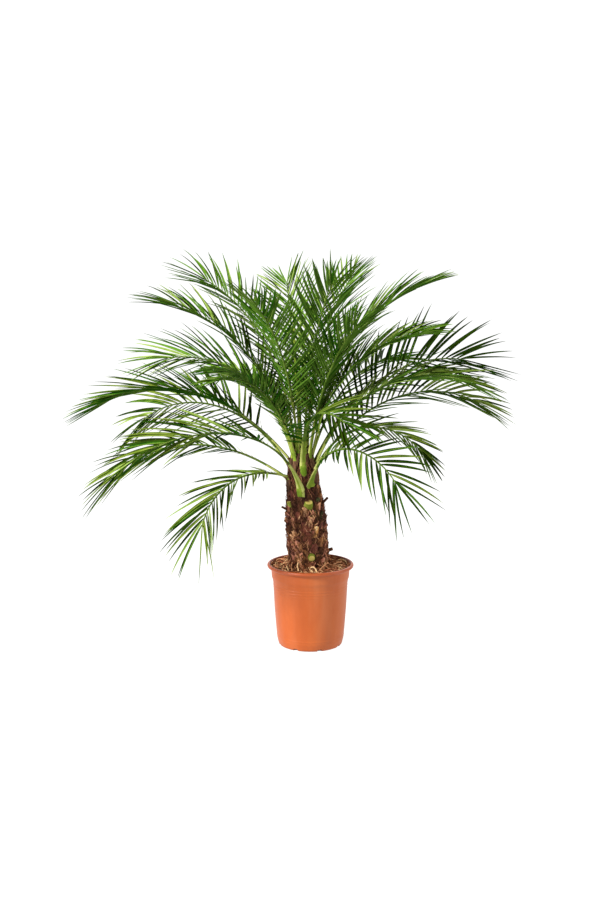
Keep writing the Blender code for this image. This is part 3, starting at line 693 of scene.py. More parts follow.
def bark_material(name, places, *colours):
    """Stringy bark, with patches of its darkest colour."""
    material, tree, shader = new_material(name, 0.85, 0.12)
    scale, stretch = 120, (1, 1, 0.14)
    body = colour_ramp(tree, noise_node(tree, scale, stretch, 7, 0.68), places, colours)
    patch = noise_node(tree, 26, (1, 1, 0.6), 3, 0.5)
    shaded = mixed(tree, patch, 0.42, 0.62, 0.75, body, colours[0])
    finish_material(tree, shader, shaded, noise_node(tree, scale * 1.7, stretch, 6, 0.7), 0.7, 0.0015)
    return material


def leaf_material(name, dark, light, roughness=0.55, specular=0.01):
    material, tree, shader = new_material(name, roughness, specular)
    patch = noise_node(tree, 34, detail=3, roughness=0.5)
    colour = colour_ramp(tree, patch, (0.32, 0.68), (dark, light))
    finish_material(tree, shader, colour, noise_node(tree, 260, detail=2, roughness=0.5), 0.15, 0.0004)
    return material


# Pot.


def mesh_from(shape, name):
    mesh = bpy.data.meshes.new(name)
    shape.to_mesh(mesh)
    shape.free()
    return mesh


def turned(name, profile, material):
    """A solid of revolution."""
    shape = bmesh.new()
    points = [shape.verts.new((radius, 0, height)) for radius, height in profile]
    edges = [shape.edges.new(pair) for pair in zip(points, points[1:])]
    bmesh.ops.spin(shape, geom=points + edges, cent=(0, 0, 0), axis=(0, 0, 1),
                   angle=math.tau, steps=TURN_STEPS, use_merge=True)
    bmesh.ops.remove_doubles(shape, verts=shape.verts, dist=1e-6)
    bmesh.ops.recalc_face_normals(shape, faces=shape.faces)
    return new_item(name, mesh_from(shape, name), [material], 40)


def pot_radius(height):
    """The wall's outer radius, which steps out under the collar, with its faint stacking rings."""
    rings = sum(size * math.exp(-((height - centre) / RING_WIDTH) ** 2) for centre, size in STACKING_RINGS)
    return float(np.interp(height, POT_HEIGHTS, POT_RADII)) + rings


def make_pot():
    wall = [(pot_radius(height), height) for height in np.arange(WALL_START, WALL_END, WALL_STEP)]
    lip = [(RIM_RADIUS - LIP_RADIUS + LIP_RADIUS * math.cos(turn), LIP_HEIGHT + LIP_RADIUS * math.sin(turn))
           for turn in np.radians(np.linspace(-80, 112, 14))]
    inner = [(radius - POT_WALL, height) for radius, height in zip(POT_RADII[:1:-1], POT_HEIGHTS[:1:-1])]
    floor = [(pot_radius(POT_FLOOR) - POT_WALL, POT_FLOOR), (0, POT_FLOOR)]
    profile = [*POT_FOOT, *wall, *POT_COLLAR, *lip, *POT_THROAT, *inner, *floor]
    pot = turned("pot_body", profile, pot_material())

    cutters = bmesh.new()
    for count, first, shift, circle, segments, low, high, depth in POT_CUTS:
        for index in range(count):
            angle = math.radians(first) + math.tau * (index + shift) / count
            made = bmesh.ops.create_cone(cutters, cap_ends=True, segments=segments, radius1=low,
                                         radius2=high, depth=depth)
            bmesh.ops.translate(cutters, verts=made["verts"],
                                vec=(circle * math.cos(angle), circle * math.sin(angle), 0))
    cutter = linked(bpy.data.objects.new("pot_cutters", mesh_from(cutters, "pot_cutters")))
    cut = pot.modifiers.new("cut", "BOOLEAN")
    cut.operation = "DIFFERENCE"
    cut.solver = "EXACT"
    cut.object = cutter
    bpy.context.view_layer.update()
    finished = bpy.data.meshes.new_from_object(pot.evaluated_get(bpy.context.evaluated_depsgraph_get()))
    pot.modifiers.clear()
    pot.data = finished
    bpy.data.objects.remove(cutter, do_unlink=True)
    dress(pot, "pot", "pot")


# Soil.


def soil_height(radius, angle):
    """The soil's surface: a low mound that falls towards the wall, with soft lumps off the trunk."""
    ground = polar(radius, angle)
    lumps = 0.0016 * smooth_noise(ground, 60) + 0.001 * smooth_noise(ground, 190)
    return np.interp(radius, SOIL_RADII, SOIL_LEVELS) + lumps * np.clip((radius - 0.045) / 0.01, 0, 1)


def make_soil(random):
    dark, brown, red, tan, pale = [earth_material(*row) for row in EARTHS]

    angles = np.linspace(0, math.tau, SOIL_SIDES, endpoint=False)
    heights = np.array([SOIL_FLOOR, *POT_HEIGHTS[2:]])[:, None]
    wall = np.interp(heights, POT_HEIGHTS, POT_RADII) - POT_WALL - SOIL_GAP
    radii = np.linspace(0, SHOULDER_RADIUS - POT_WALL - 0.0005, SOIL_RINGS)[:0:-1, None]
    rings = np.concatenate([polar(wall, angles, heights), polar(radii, angles, soil_height(radii, angles))])
    low_centre = len(rings) * len(angles)
    points = np.concatenate([rings.reshape(-1, 3), [[0, 0, SOIL_FLOOR], [0, 0, SOIL_HEIGHT]]])
    around = np.arange(len(angles))
    after = (around + 1) % len(angles)
    last = low_centre - len(angles)
    body = Shape()
    body.add(points[None], (tube_faces(len(rings), len(angles))[0], 0),
             (triples(after, around, low_centre), 0),
             (triples(last + around, last + after, low_centre + 1), 0))
    dress(body.make("soil_body", [dark]), "soil", "soil")

    make_crumbs(random, [dark, brown, tan, red])
    make_coir(random, [brown, tan, pale, dark, red])
    make_roots(random, [tan, pale, brown, red])


def scattered(random, count):
    """Radii and angles of loose bits, spread evenly over the soil."""
    radius = np.sqrt(random.uniform(MAT_START ** 2, MAT_RADIUS ** 2, count))
    return radius, random.uniform(0, math.tau, count)


def kept_inside(points, limit):
    """Level points, moved in where they lie beyond a radius, and the radius of each."""
    reach = np.linalg.norm(points, axis=-1, keepdims=True)
    moved = points / np.maximum(reach, 1e-9) * limit
    return np.where(reach > limit, moved, points), np.minimum(reach[..., 0], limit)


def make_crumbs(random, materials):
    """Loose bits of bark and peat that lie on the soil, each an uneven block with eight faces."""
    count = CRUMB_COUNT
    radius, angle = scattered(random, count)
    size = random.uniform(*CRUMB_SIZES, count) * random.uniform(0.6, 1, count)
    centre = polar(radius, angle, soil_height(radius, angle) + size * 0.25)
    corners = np.array([(1, 0, 0), (0, 1, 0), (-1, 0, 0), (0, -1, 0), (0, 0, 1), (0, 0, -1)], dtype=float)
    around = np.arange(4)
    after = (around + 1) % 4
    faces = np.concatenate([triples(around, after, 4), triples(after, around, 5)])
    spin = random.uniform(0, math.tau, count)[:, None]
    tilt = random.uniform(-0.6, 0.6, count)[:, None]
    stretch = random.uniform(0.5, 1.6, (count, 1, 3))
    shaped = corners * stretch * random.uniform(0.75, 1.25, (count, len(corners), 1)) * size[:, None, None]
    x, y, z = np.moveaxis(shaped * (1, 1, 0.7), -1, 0)
    y, z = rotated(y, z, -tilt)
    x, y = rotated(x, y, -spin)
    kind = random.choice(4, count, p=CRUMB_ODDS)
    shape = Shape()
    shape.add(centre[:, None] + triples(x, y, z), (faces, kind[:, None]))
    dress(shape.make("soil_crumbs", materials, sharp=20), "soil")


def make_coir(random, materials):
    """Short curly fibres that lie in every direction on the soil, up to the rim."""
    count, steps = COIR_COUNT, len(COIR_TAPER)
    radius, angle = scattered(random, count)
    heading = random.uniform(0, math.tau, count)[:, None]
    curl = random.normal(0, 1.5, count)[:, None]
    length = random.uniform(*COIR_LENGTHS, count)
    share = np.linspace(-0.5, 0.5, steps)
    stride = polar(1, heading + curl * share) * (length / (steps - 1))[:, None, None]
    paths, reach = kept_inside(polar(radius, angle)[:, None] + np.cumsum(stride, axis=1), MAT_RADIUS)
    ground = soil_height(reach, np.arctan2(paths[..., 1], paths[..., 0]))
    hump = random.uniform(0.0005, 0.0045, count)[:, None] * (1 - (2 * share) ** 2)
    wave = 0.0008 * np.sin(share * 14 + heading)
    paths[..., 2] = ground + 0.0006 + hump + np.abs(wave)
    thick = random.uniform(*COIR_RADII, count)[:, None]
    shape = Shape()
    add_tubes(shape, paths, thick * COIR_TAPER, 4, random.choice(5, count, p=COIR_ODDS))
    dress(shape.make("coir_fibres", materials, sharp=60), "soil")


def stroke(corners):
    """A smooth path through a few corners."""
    last = len(corners) - 1
    path = read_along(np.array(corners), np.arange(last + 1), np.linspace(0, last, THICK_ROOT_RINGS))
    for _ in range(2):
        path[1:-1] = (path[:-2] + 2 * path[1:-1] + path[2:]) / 4
    return path


def make_roots(random, materials):
    """Roots that come out of the trunk's foot and dive into the soil, loops, and the thick ones."""
    count = THIN_ROOTS
    front = random.normal(*FRONT_DIRECTION, THIN_ROOTS_IN_FRONT)
    rest = random.uniform(0, 360, count - THIN_ROOTS_IN_FRONT)
    angle = np.radians(np.concatenate([front, rest]))[:, None]
    top = SOIL_HEIGHT + random.uniform(*THIN_ROOT_RISE, count)[:, None]
    reach = random.uniform(*THIN_ROOT_REACH, count)[:, None]
    swing = random.normal(0, 0.3, count)[:, None]
    share = np.linspace(0, 1, 12)
    heights = top + (SOIL_HEIGHT - 0.004 - top) * share ** 0.8
    hump = 0.004 * np.sin(share * math.pi) * random.uniform(0.2, 1.4, count)[:, None]
    along = angle + swing * share + 0.07 * np.sin(share * 9 + angle * 7)
    foot = trunk_radius(np.clip(heights, TRUNK_FOOT, 0.26)) + 0.0045
    paths = polar(foot + reach * share ** 1.4 + hump, along, heights) + (TRUNK_FOOT_X, 0, 0)
    thick = random.uniform(*THIN_ROOT_RADII, count)[:, None]
    kind = random.choice(4, count, p=THIN_ROOT_ODDS)
    shape = Shape()
    add_tubes(shape, paths, thick * np.linspace(1, 0.65, len(share)), 6, kind)

    count = ROOT_LOOPS
    middle = np.radians(random.normal(*LOOP_DIRECTION, count))
    out = random.uniform(*LOOP_PLACES, count)
    width = random.uniform(*LOOP_HALF_WIDTHS, count)[:, None]
    arch = np.linspace(-0.15 * math.pi, 1.15 * math.pi, 16)
    direction = polar(1, middle + random.uniform(-0.9, 0.9, count))[:, None]
    across = (np.cos(arch) * width)[..., None]
    paths, reach = kept_inside(polar(out, middle)[:, None] + across * direction, LOOP_LIMIT)
    paths[..., 2] = np.interp(reach, SOIL_RADII, SOIL_LEVELS) + np.sin(arch) * width * 0.42
    kind = random.choice(4, count, p=LOOP_ODDS)
    add_tubes(shape, paths, np.linspace(*LOOP_RADII, len(arch)), 6, kind)
    for radius, kind, *corners in FRONT_ROOTS:
        path = stroke(corners)
        add_tubes(shape, path[None], radius * np.linspace(1, 0.75, len(path)), 8, kind)
    dress(shape.make("surface_roots", materials, sharp=60), "soil")


# Trunk.


def make_core(material):
    heights = np.linspace(TRUNK_FOOT, TRUNK_TOP, CORE_RINGS)[:, None]
    angles = np.linspace(0, math.tau, CORE_SIDES, endpoint=False)
    plain = on_trunk(angles, heights, 0)
    fibre = smooth_noise(plain, (210, 210, 26))
    lumps = smooth_noise(plain, (70, 70, 34))
    stand = base_relief(angles, heights) * 0.55 + 0.0009 * fibre + 0.0014 * lumps - 0.0008
    quads, caps = tube_faces(CORE_RINGS, CORE_SIDES)
    shape = Shape()
    shape.add(on_trunk(angles, heights, stand)[None], (quads, 0), (caps, 0))
    dress(shape.make("trunk_core", [material], sharp=75), "trunk", "trunk")


def shield_faces(rows, columns):
    """Quads of a closed sheet: a front grid, a back grid, and the four edges between them."""
    row, column = np.meshgrid(np.arange(rows - 1), np.arange(columns - 1), indexing="ij")
    low = (row * columns + column).ravel()
    front = np.stack([low, low + 1, low + columns + 1, low + columns], axis=-1)
    back = front[:, ::-1] + rows * columns
    bottom = np.arange(columns)
    left = np.arange(rows) * columns
    right = left + columns - 1
    top = bottom + left[-1]
    rim = np.concatenate([bottom, right[1:], top[::-1][1:], left[::-1][1:-1]])
    after = np.roll(rim, -1)
    edges = np.stack([after, rim, rim + rows * columns, after + rows * columns], axis=-1)
    return np.concatenate([front, back, edges])


def base_kind(angle, height, random):
    """The colours of a leaf base's face and of its lip."""
    face_odds, lip_odds = LOW_ODDS if height < DARKER_FROM else HIGH_ODDS
    kind = int(random.choice(len(face_odds), p=face_odds))
    lip = int(random.choice((kind, BROWN, TAN, PINK), p=lip_odds))
    nearest = SPOT_REACH
    for spot_angle, spot_height, spot_kind in BASE_SPOTS:
        turn = around_trunk(angle, math.radians(spot_angle))
        away = math.hypot(turn * SPOT_RADIUS, height - spot_height)
        if away < nearest:
            nearest, kind, lip = away, spot_kind, spot_kind
    return kind, lip


def make_leaf_bases(random, materials):
    """Each cut leaf base is a closed ragged shield that stands out at its upper lip."""
    shape = Shape()
    across = np.linspace(-1, 1, BASE_GRID)
    up = np.linspace(0, 1, BASE_GRID)[:, None]
    faces = shield_faces(BASE_GRID, BASE_GRID)
    cells = BASE_GRID - 1
    column = np.arange(len(faces)) % cells
    for order in range(BASE_COUNT):
        centre = math.radians(GOLDEN_ANGLE) * order + random.normal(0, BASE_TURN_SPREAD)
        foot = FIRST_BASE + BASE_RISE * order + random.normal(0, BASE_RISE_SPREAD)
        size = random.uniform(*BASE_SIZES)
        tall = BASE_HEIGHT * random.uniform(*BASE_TALLNESS)
        lean = random.normal(0, BASE_LEAN_SPREAD)
        narrow = 1 - BASE_NARROWING * up ** 1.5
        ragged = 0.1 * smooth_noise(triples(across * 2.2, order * 7.3), 1.6)
        chevron = 1 - 0.2 * np.abs(across) ** 1.6 + ragged
        heights = np.maximum(foot + tall * up * chevron, TRUNK_FOOT - 0.002)
        shift = across * narrow * BASE_HALF_WIDTH * 0.86 * size + lean * up * tall
        angles = centre + shift / trunk_radius(heights)
        fade = np.clip((RELIEF_END + 0.008 - heights) / RELIEF_FADE, 0.12, 1)
        arch = 1 - np.abs(across) ** 2.4
        stand = (BASE_DEPTH + 0.0018) * (0.1 + 0.9 * up ** 1.25) * arch * fade * random.uniform(0.75, 1.15)
        spots = triples(across * 6, up * 1.4, order * 3.7)
        stand = stand + 0.0011 * smooth_noise(spots) + 0.0006 * smooth_noise(spots, (3, 1.6, 1))
        sheet = np.stack([on_trunk(angles, heights, stand), on_trunk(angles, heights, -0.004)])
        kind, lip = base_kind(centre, foot + 0.6 * tall, random)
        streak = np.abs(column - (cells - 1) / 2 - lean * 12) < 2.6
        slots = np.where(streak, kind, BROWN if kind in (TAN, PINK, ORANGE) else kind)
        slots[(cells - 2) * cells:cells * cells] = lip
        shape.add(sheet[None], (faces, slots))
    dress(shape.make("trunk_leaf_bases", materials, sharp=48), "trunk")


def make_trunk_fibres(random, materials):
    """Strands of the woven sheath: they cross over the leaf bases, and some stand free."""
    shape = Shape()
    share = np.linspace(0, 1, len(FIBRE_TAPER))
    for count, low, high, slant, stand, length, thick, odds in FIBRES:
        angle = random.uniform(0, math.tau, count)[:, None]
        height = random.uniform(low, high, count)[:, None]
        side = random.choice((-1, 1), count) * np.abs(random.normal(slant, 0.25, count))
        size = length * random.uniform(0.5, 1.25, count)
        heights = np.clip(height + (size * np.cos(side))[:, None] * share, TRUNK_FOOT, TRUNK_TOP)
        around = (size * np.sin(side))[:, None] * share / np.maximum(trunk_radius(heights), 0.012)
        angles = angle + around + length * 0.6 * np.sin(share * 4 + angle * 11)
        free = stand * random.uniform(0, 1, count)[:, None] ** 2 * share ** 2 * 2.2
        paths = on_trunk(angles, heights, base_relief(angles, heights) * 1.05 + 0.0008 + free)
        thickness = thick * random.uniform(0.6, 1.7, count)[:, None]
        add_tubes(shape, paths, thickness * FIBRE_TAPER, 3, random.choice(len(odds), count, p=odds))
    dress(shape.make("trunk_fibres", materials, sharp=80), "trunk")


def make_cut_stalks(materials):
    """Stalks that were cut short. The green ones have a pale cut face."""
    shape = Shape()
    _, x, y = outline(STALK_SIDES, STALK_POWER)
    for azimuth, height, rise, reach, width, depth, colour in CUT_STALKS:
        turn, climb = math.radians(azimuth), math.radians(rise)
        outward = polar(1, turn)
        along = polar(math.cos(climb), turn, math.sin(climb))
        side = sideways(turn)
        above = np.cross(along, side)
        surface = trunk_centre(height) + outward * (trunk_radius(height) + BASE_DEPTH * 0.6)
        places = np.array([-0.018, -0.006, 0, reach * 0.5, reach * 0.93, reach])[:, None]
        rings = sections(surface + along * places, side[None], above[None], width * STALK_SWELLS,
                         depth * STALK_SWELLS, x, y)
        face_centre = surface + along * reach * 1.01
        rings = np.concatenate([rings, face_centre + (rings[-1:] - face_centre) * 0.25])
        quads, caps = tube_faces(len(rings), STALK_SIDES)
        body, cut = STALK_SLOTS[colour]
        slots = np.full(len(quads), body)
        slots[-STALK_SIDES:] = cut
        shape.add(rings[None], (quads[:, ::-1], slots), (caps[:, ::-1], [body, cut]))
    dress(shape.make("cut_stalks", materials, sharp=40), "trunk")


def make_trunk(random, green, cut_face):
    barks = [bark_material(*row) for row in BARK]
    make_core(barks[DARK])
    make_leaf_bases(random, barks)
    make_trunk_fibres(random, barks)
    make_cut_stalks([barks[DARK], green, cut_face, barks[OLIVE]])


# Fronds.


class Rib:
    """The curved middle line of a frond, as on the solid, and what its leaflets are like."""

    def __init__(self, number, azimuth, launch, bend, length, base_height, sweep, roll, spread):
        self.number = number
        self.length = length
        self.spread = spread
        self.lift = (LEAFLET_LIFT - LIFT_LOSS_PER_BEND * max(0, bend - FREE_BEND)
                     - LIFT_LOSS_PER_LOW_LAUNCH * max(0, FREE_LAUNCH - launch))
        self.reach = OWN_REACH.get(number, COMMON_REACH)
        self.bare = OWN_BARE.get(number, COMMON_BARE)
        self.droop = LEAFLET_DROOP * OWN_DROOP.get(number, 1)
        self.is_upright = launch >= UPRIGHT_LAUNCH and number not in OWN_PAIRS
        self.pairs = OWN_PAIRS.get(number, UPRIGHT_PAIRS if self.is_upright else FINE_PAIRS)
        self.leaf_width = OWN_WIDTH.get(number, UPRIGHT_WIDTH if self.is_upright else LEAFLET_WIDTH)
        self.leaf_size = LEAFLET_LENGTH * (length / NOMINAL_FROND) ** LEAFLET_SIZE_POWER
        # The old fronds' larger share of dark green is partly painted shade, and the young ones' light green
        # partly painted light.
        youth = min(max((launch - OLD_LAUNCH) / (YOUNG_LAUNCH - OLD_LAUNCH), 0), 1)
        greens = OLD_AND_SHADED_GREENS + YOUNG_AND_LIT_CHANGE * youth
        self.greens = OWN_GREENS.get(number, greens / greens.sum())

        self.shares = np.arange(PATH_STEPS + 1) / PATH_STEPS
        rise = np.radians(launch - bend * self.shares ** BEND_POWER)
        heading = np.radians(azimuth + sweep * self.shares)
        self.tangents = polar(np.cos(rise), heading, np.sin(rise))
        first = trunk_centre(base_height) + polar(BASE_RING_RADIUS, heading[0])
        stride = self.tangents[:-1] * (length / PATH_STEPS)
        self.points = np.concatenate([[first], first + np.cumsum(stride, axis=0)])
        side = sideways(heading)
        turn = (math.radians(roll) * np.minimum(1, self.shares / FULL_ROLL_SHARE))[:, None]
        self.sides = rotated(side, np.cross(self.tangents, side), -turn)[0]

    def frame(self, at):
        """Points, tangents, sides and tops at an array of shares."""
        points, tangents, sides = [read_along(values, self.shares, at)
                                   for values in (self.points, self.tangents, self.sides)]
        tangents = unit(tangents)
        sides = square_to(sides, tangents)
        return points, tangents, sides, np.cross(tangents, sides)

    def seat(self):
        """The share at which the rib leaves the trunk."""
        points = self.frame(self.shares)[0]
        heights = points[:, 2]
        away = np.linalg.norm((points - trunk_centre(heights))[:, :2], axis=-1)
        is_clear = (away > trunk_radius(heights) + SEAT_CLEARANCE) | (heights > TRUNK_TOP)
        return float(self.shares[np.argmax(is_clear)])


def rib_width(share):
    return np.interp(share, RIB_SHARES, RIB_WIDTHS)


def rib_depth(share):
    return np.interp(share, RIB_SHARES, RIB_DEPTHS)


def make_rib(rib, materials, nodes):
    """The stalk's clasping base on the trunk, then the rib out to its tip."""
    seat = rib.seat()
    shares = np.concatenate([np.linspace(seat, COMMON_BARE, STALK_RINGS)[:-1],
                             np.linspace(COMMON_BARE, 1, LEAFY_RINGS)])
    points, _, sides, _ = rib.frame(shares)
    first = points[0]
    outward = first - trunk_centre(first[2])
    plain_clasp = UPRIGHT_CLASP if rib.is_upright else BROWN_CLASP
    reach, turn, wide, narrowing, bright_end = GREEN_CLASPS.get(rib.number, plain_clasp)
    angles = math.atan2(outward[1], outward[0]) + math.radians(turn) * CLASP_STEPS
    clasp = on_trunk(angles, first[2] - reach * CLASP_STEPS, CLASP_STANDS)
    all_points = np.concatenate([clasp, points])
    smooth = all_points.copy()
    smooth[1:8] = (all_points[:7] + 2 * all_points[1:8] + all_points[2:9]) / 4
    tangents = unit(np.gradient(smooth, axis=0))
    all_sides = square_to(np.concatenate([sideways(angles), sides]), tangents)
    widths = rib_width(shares) * 1.02
    from_seat = (shares - seat) * rib.length
    widths = widths + (CLASP_NECK * wide - widths[0]) * np.exp(-from_seat / narrowing)
    widths = np.concatenate([wide * CLASP_WIDTHS, widths])
    depths = np.concatenate([CLASP_DEPTHS, rib_depth(shares)])
    around, x, y = outline(RIB_SIDES, RIB_POWER)
    rings = sections(smooth, all_sides, np.cross(tangents, all_sides), widths, depths, x, y)
    ragged = 0.004 * np.sin(around * 2 + rib.number * 1.7) + 0.0025 * np.sin(around * 5 + rib.number)
    rings[:2] += tangents[:2, None] * (ragged[:, None] - CLASP_ROUNDING * (1 - np.abs(x)))
    quads, caps = tube_faces(len(smooth), RIB_SIDES)
    ring_of, side_of = quads[:, 0] // RIB_SIDES, quads[:, 0] % RIB_SIDES
    edge = np.isin(side_of, NARROW_SIDES)
    pale = edge.copy()
    for side, first_ring in PALE_SIDES.get(rib.number, ()):
        pale |= (side_of == side) & (ring_of >= first_ring)
    slots = np.where(ring_of < bright_end, np.where(pale, 1, 0),
                     np.where((ring_of < STALK_END_RING) & ~edge, 4, 2))
    sheathed = 1 if rib.number in GREEN_CLASPS else 4
    slots = np.where(ring_of < sheathed + 2 * edge, 3, slots)
    shape = Shape()
    shape.add(rings[None], (quads[:, ::-1], slots), (caps[:, ::-1], [3, 2]))
    dress(shape.make(f"frond_{rib.number:02d}_rib", materials, sharp=60), "frond", *nodes)


def leaving(tangents, sides, tops, hand, angle, lift):
    """Unit vectors that leave one side of a rib at an angle, lifted off its plane."""
    outward = sides * (hand * np.cos(lift))[:, None] + tops * np.sin(lift)[:, None]
    return tangents * np.cos(angle)[:, None] + outward * np.sin(angle)[:, None]


def leaflet_blades(rib, shares, alongs, hand, random, width_scale=1, size_scale=1, turn=0):
    """Folded blades of K leaflets on one side: points K by rings by 5, and the tips."""
    count = len(shares)
    points, tangents, sides, tops = rib.frame(shares)
    angle = LEAFLET_ANGLE - ANGLE_LOSS_TO_TIP * np.maximum(alongs, 0) ** 0.9
    angle = np.radians(angle * rib.spread - turn + random.normal(0, ANGLE_SPREAD, count))
    lift = np.radians(rib.lift - LIFT_LOSS_TO_TIP * alongs + random.normal(0, LIFT_SPREAD, count))
    direction = leaving(tangents, sides, tops, hand, angle, lift)
    reach = np.interp(alongs, REACH_PLACES, rib.reach)
    length = rib.leaf_size * size_scale * reach * random.uniform(0.92, 1.03, count)
    root = points + sides * (hand * rib_width(shares) * ROOT_OUT)[:, None]
    root = root + tops * (rib_depth(shares) * ROOT_UP)[:, None]

    t = np.linspace(0, 1, LEAFLET_RINGS + 1)
    bow_away = unit(np.cross(np.cross(tangents, direction), direction)) * (-1)
    bow = (random.uniform(0.005, 0.035, count) * length)[:, None, None] * (4 * t * (1 - t))[:, None]
    droop = (rib.droop * random.uniform(0.7, 1.35, count) * length ** 2)[:, None] * t ** 2.3
    line = root[:, None] + direction[:, None] * (length[:, None] * t)[..., None] - bow_away[:, None] * bow
    line[..., 2] -= droop
    along = unit(np.gradient(line, axis=1))
    louver = (np.radians(random.normal(LOUVER, LOUVER_SPREAD, count)) * hand)[:, None]
    facing = rotated(tops, np.cross(direction, tops), louver)[0]
    across = unit(np.cross(along, facing[:, None]))
    twist = np.radians(random.normal(0, TWIST_SPREAD, count))[:, None] * t
    across, normal = rotated(across, np.cross(across, along), twist[..., None])
    profile = np.interp(t, BLADE_PLACES, BLADE_WIDTHS)
    wide = rib.leaf_width * width_scale * random.uniform(0.86, 1.1, count)[:, None] * profile / 2
    wide = wide[..., None]
    edge = line + normal * (wide * 2 * FOLD_RISE)
    thick = (TIP_THICKNESS + ADDED_THICKNESS * profile)[:, None]
    middle = line + normal * (thick * 0.5 + wide * 2 * FOLD_RISE * 0.1)
    midrib = across * (wide * 2 * MIDRIB_SHARE)
    section = np.stack([edge + across * wide, middle + midrib, middle - midrib, edge - across * wide,
                        line - normal * thick], axis=2)
    return section[:, :-1], line[:, -1]


def add_leaflets(shape, blades, tips, kinds):
    """Joins blades to a shape. Slots 0 to 3 are the greens, 4 is the midrib and 5 the underside.

    A dark leaflet is painted shade, and its midrib and underside are deep green.
    """
    count, rings = blades.shape[:2]
    quads, caps = tube_faces(rings, BLADE_SIDES)
    side = np.arange(BLADE_SIDES)
    last = (rings - 1) * BLADE_SIDES
    tip_faces = triples(last + (side + 1) % BLADE_SIDES, last + side, rings * BLADE_SIDES)
    midrib = np.where(kinds == 0, 3, 4)
    below = np.where(kinds == 0, 3, 5)
    by_side = np.stack([kinds, midrib, kinds, below, below], axis=-1)
    points = np.concatenate([blades.reshape(count, -1, 3), tips[:, None]], axis=1)
    shape.add(points, (quads[:, (1, 0, 3, 2)], np.tile(by_side, rings - 1)), (tip_faces, by_side),
              (caps[:1, ::-1], kinds[:, None]))


def make_leaflets(rib, materials, random):
    """The leaflets of both sides, which start lower on an upright frond, and the last pairs at the tip."""
    shape = Shape()
    pitch = (LAST_SHARE - rib.bare) / rib.pairs
    for hand in (1, -1):
        places = np.arange(-LOW_PAIRS[rib.is_upright], rib.pairs) + 0.5 + PAIR_SHIFT[hand]
        shares = rib.bare + pitch * (places + random.uniform(-PAIR_JITTER, PAIR_JITTER, len(places)))
        shares = np.clip(shares, 0, 0.995)
        alongs = (shares - rib.bare) / (1 - rib.bare)
        size = LEFT_SIZE.get(rib.number, 1) if hand > 0 else 1
        blades, tips = leaflet_blades(rib, shares, alongs, hand, random, 1, size)
        add_leaflets(shape, blades, tips, random.choice(4, len(shares), p=rib.greens))
        blades, tips = leaflet_blades(rib, TIP_SHARES, np.ones(2), hand, random,
                                      TIP_WIDTH, TIP_SIZE, TIP_TURN)
        add_leaflets(shape, blades, tips, random.choice(4, 2, p=rib.greens))
    dress(shape.make(f"frond_{rib.number:02d}_leaflets", materials, sharp=26), "frond")


def make_spines(ribs, materials, random):
    """Slim spines in place of the lowest leaflets."""
    shape = Shape()
    count = len(SPINE_PLACES)
    t = np.linspace(0, 1, len(SPINE_TAPER))
    for rib in ribs:
        for hand in (1, -1):
            shares = rib.bare + SPINE_PLACES + random.uniform(-0.01, 0.01, count)
            points, tangents, sides, tops = rib.frame(shares)
            angle = np.radians(random.uniform(*SPINE_ANGLES, count))
            lift = np.radians(random.uniform(*SPINE_LIFTS, count))
            direction = leaving(tangents, sides, tops, hand, angle, lift)
            length = SPINE_LENGTHS * random.uniform(0.7, 1.2, count)
            root = points + sides * (hand * rib_width(shares) * SPINE_OUT)[:, None]
            paths = root[:, None] + direction[:, None] * (length[:, None] * t)[..., None]
            paths[..., 2] -= (SPINE_DROOP * length ** 2)[:, None] * t ** 2
            kind = random.choice(3, count, p=SPINE_ODDS)
            add_tubes(shape, paths, SPINE_TAPER * SPINE_RADIUS, 4, kind)
    dress(shape.make("stalk_spines", materials, sharp=60), "frond")


def make_spear(material):
    """The unopened leaf, a slim spindle with faint steps."""
    share = np.linspace(0, 1, SPEAR_RINGS)
    centre = trunk_centre(TRUNK_TOP) + triples(-TRUNK_LEAN * share * SPEAR_LENGTH, 0, share * SPEAR_LENGTH)
    radii = SPEAR_RADIUS * np.interp(share, SPEAR_SHARES, SPEAR_SWELLS)
    shape = Shape()
    add_tubes(shape, centre[None], radii * (1 + 0.05 * np.sin(share * 60)), 12)
    dress(shape.make("spear_leaf", [material], sharp=60), "spear", "spear")


def make_fronds(random, leaves):
    greens = [leaves["leaf_" + name] for name in ("dark", "mid", "light", "deep", "midrib", "underside")]
    old_greens = [greens[0], leaves["leaf_olive"], *greens[2:]]
    stalk, edge = leaves["stalk_green"], leaves["stalk_edge"]
    rib_materials = [stalk, edge, leaves["rib_green"], bark_material(*SHEATH), leaves["stalk_olive"]]
    ribs = [Rib(number, *row) for number, row in enumerate(FRONDS, 1)]
    for rib in ribs:
        own = [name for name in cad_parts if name.startswith(f"frond_{rib.number:02d}")]
        make_rib(rib, rib_materials, own)
        make_leaflets(rib, greens if rib.is_upright else old_greens, random)
    make_spines(ribs, [leaves["spine_yellow"], edge, stalk], random)
    make_spear(stalk)


# Stage.


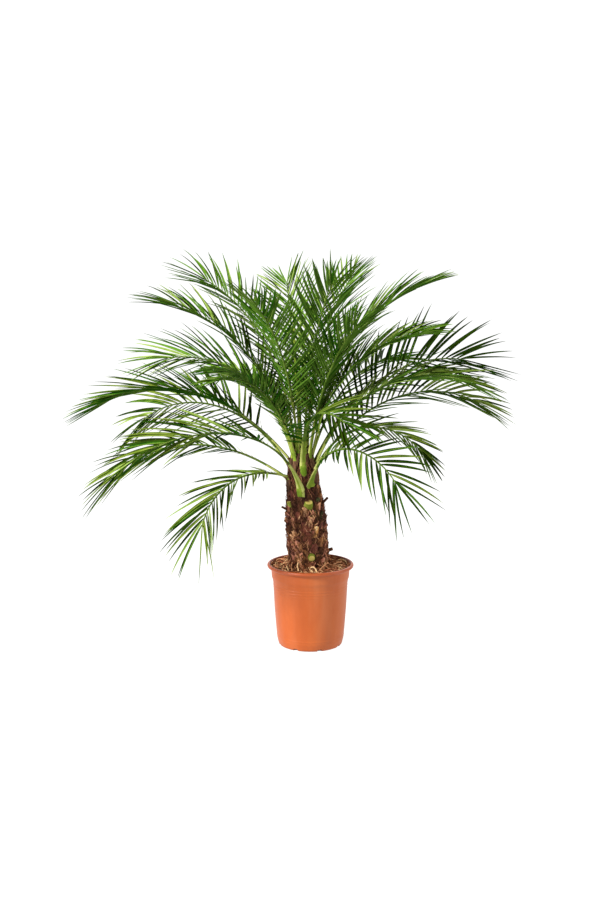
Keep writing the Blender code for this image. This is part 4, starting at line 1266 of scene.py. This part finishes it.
def aimed(name, data, place, aim):
    """An object at a place that looks at its aim."""
    item = linked(bpy.data.objects.new(name, data))
    item.location = place
    item.rotation_euler = (Vector(aim) - Vector(place)).to_track_quat("-Z", "Y").to_euler()
    return item


def make_stage():
    """A plain pale floor that curves up into a backdrop, soft lights and the camera."""
    material, _, shader = new_material("studio_pale", 0.9, 0.1)
    shader.inputs["Base Color"].default_value = (STAGE_GREY, STAGE_GREY, STAGE_GREY, 1)
    shader.inputs["Emission Color"].default_value = (1, 1, 1, 1)
    shader.inputs["Emission Strength"].default_value = STAGE_GLOW
    profile = [(STAGE_FRONT, 0), (STAGE_BACK, 0)]
    profile += [(STAGE_BACK + STAGE_CURVE * math.sin(angle), STAGE_CURVE - STAGE_CURVE * math.cos(angle))
                for angle in np.linspace(0.1, math.pi / 2, 12)]
    profile.append((STAGE_BACK + STAGE_CURVE, STAGE_TOP))
    points = np.array([(x, y, z) for y, z in profile for x in (-STAGE_SIDE, STAGE_SIDE)])
    faces = [(2 * i, 2 * i + 1, 2 * i + 3, 2 * i + 2) for i in range(len(profile) - 1)]
    shape = Shape()
    shape.add(points[None], (faces, 0))
    shape.make("studio_floor", [material])

    for name, place, aim, size, power in LIGHTS:
        light = bpy.data.lights.new(name, "AREA")
        light.size = size
        light.energy = power
        aimed(name, light, place, aim)
    world = bpy.data.worlds.new("studio")
    world.use_nodes = True
    background = world.node_tree.nodes["Background"]
    background.inputs["Color"].default_value = (1, 1, 1, 1)
    background.inputs["Strength"].default_value = WORLD_LIGHT
    bpy.context.scene.world = world
    bpy.context.scene.view_settings.view_transform = "Standard"

    camera = aimed("camera", bpy.data.cameras.new("camera"), CAMERA_AT, CAMERA_AIM)
    camera.data.lens = CAMERA_LENS
    camera.data.sensor_width = CAMERA_SENSOR
    bpy.context.scene.camera = camera


def main():
    random = np.random.default_rng(PLANT_SEED)
    make_stage()
    make_pot()
    make_soil(random)
    leaves = {row[0]: leaf_material(*row) for row in LEAVES}
    make_fronds(random, leaves)
    make_trunk(np.random.default_rng(TRUNK_SEED), leaves["cut_green"], leaves["cut_face"])


main()
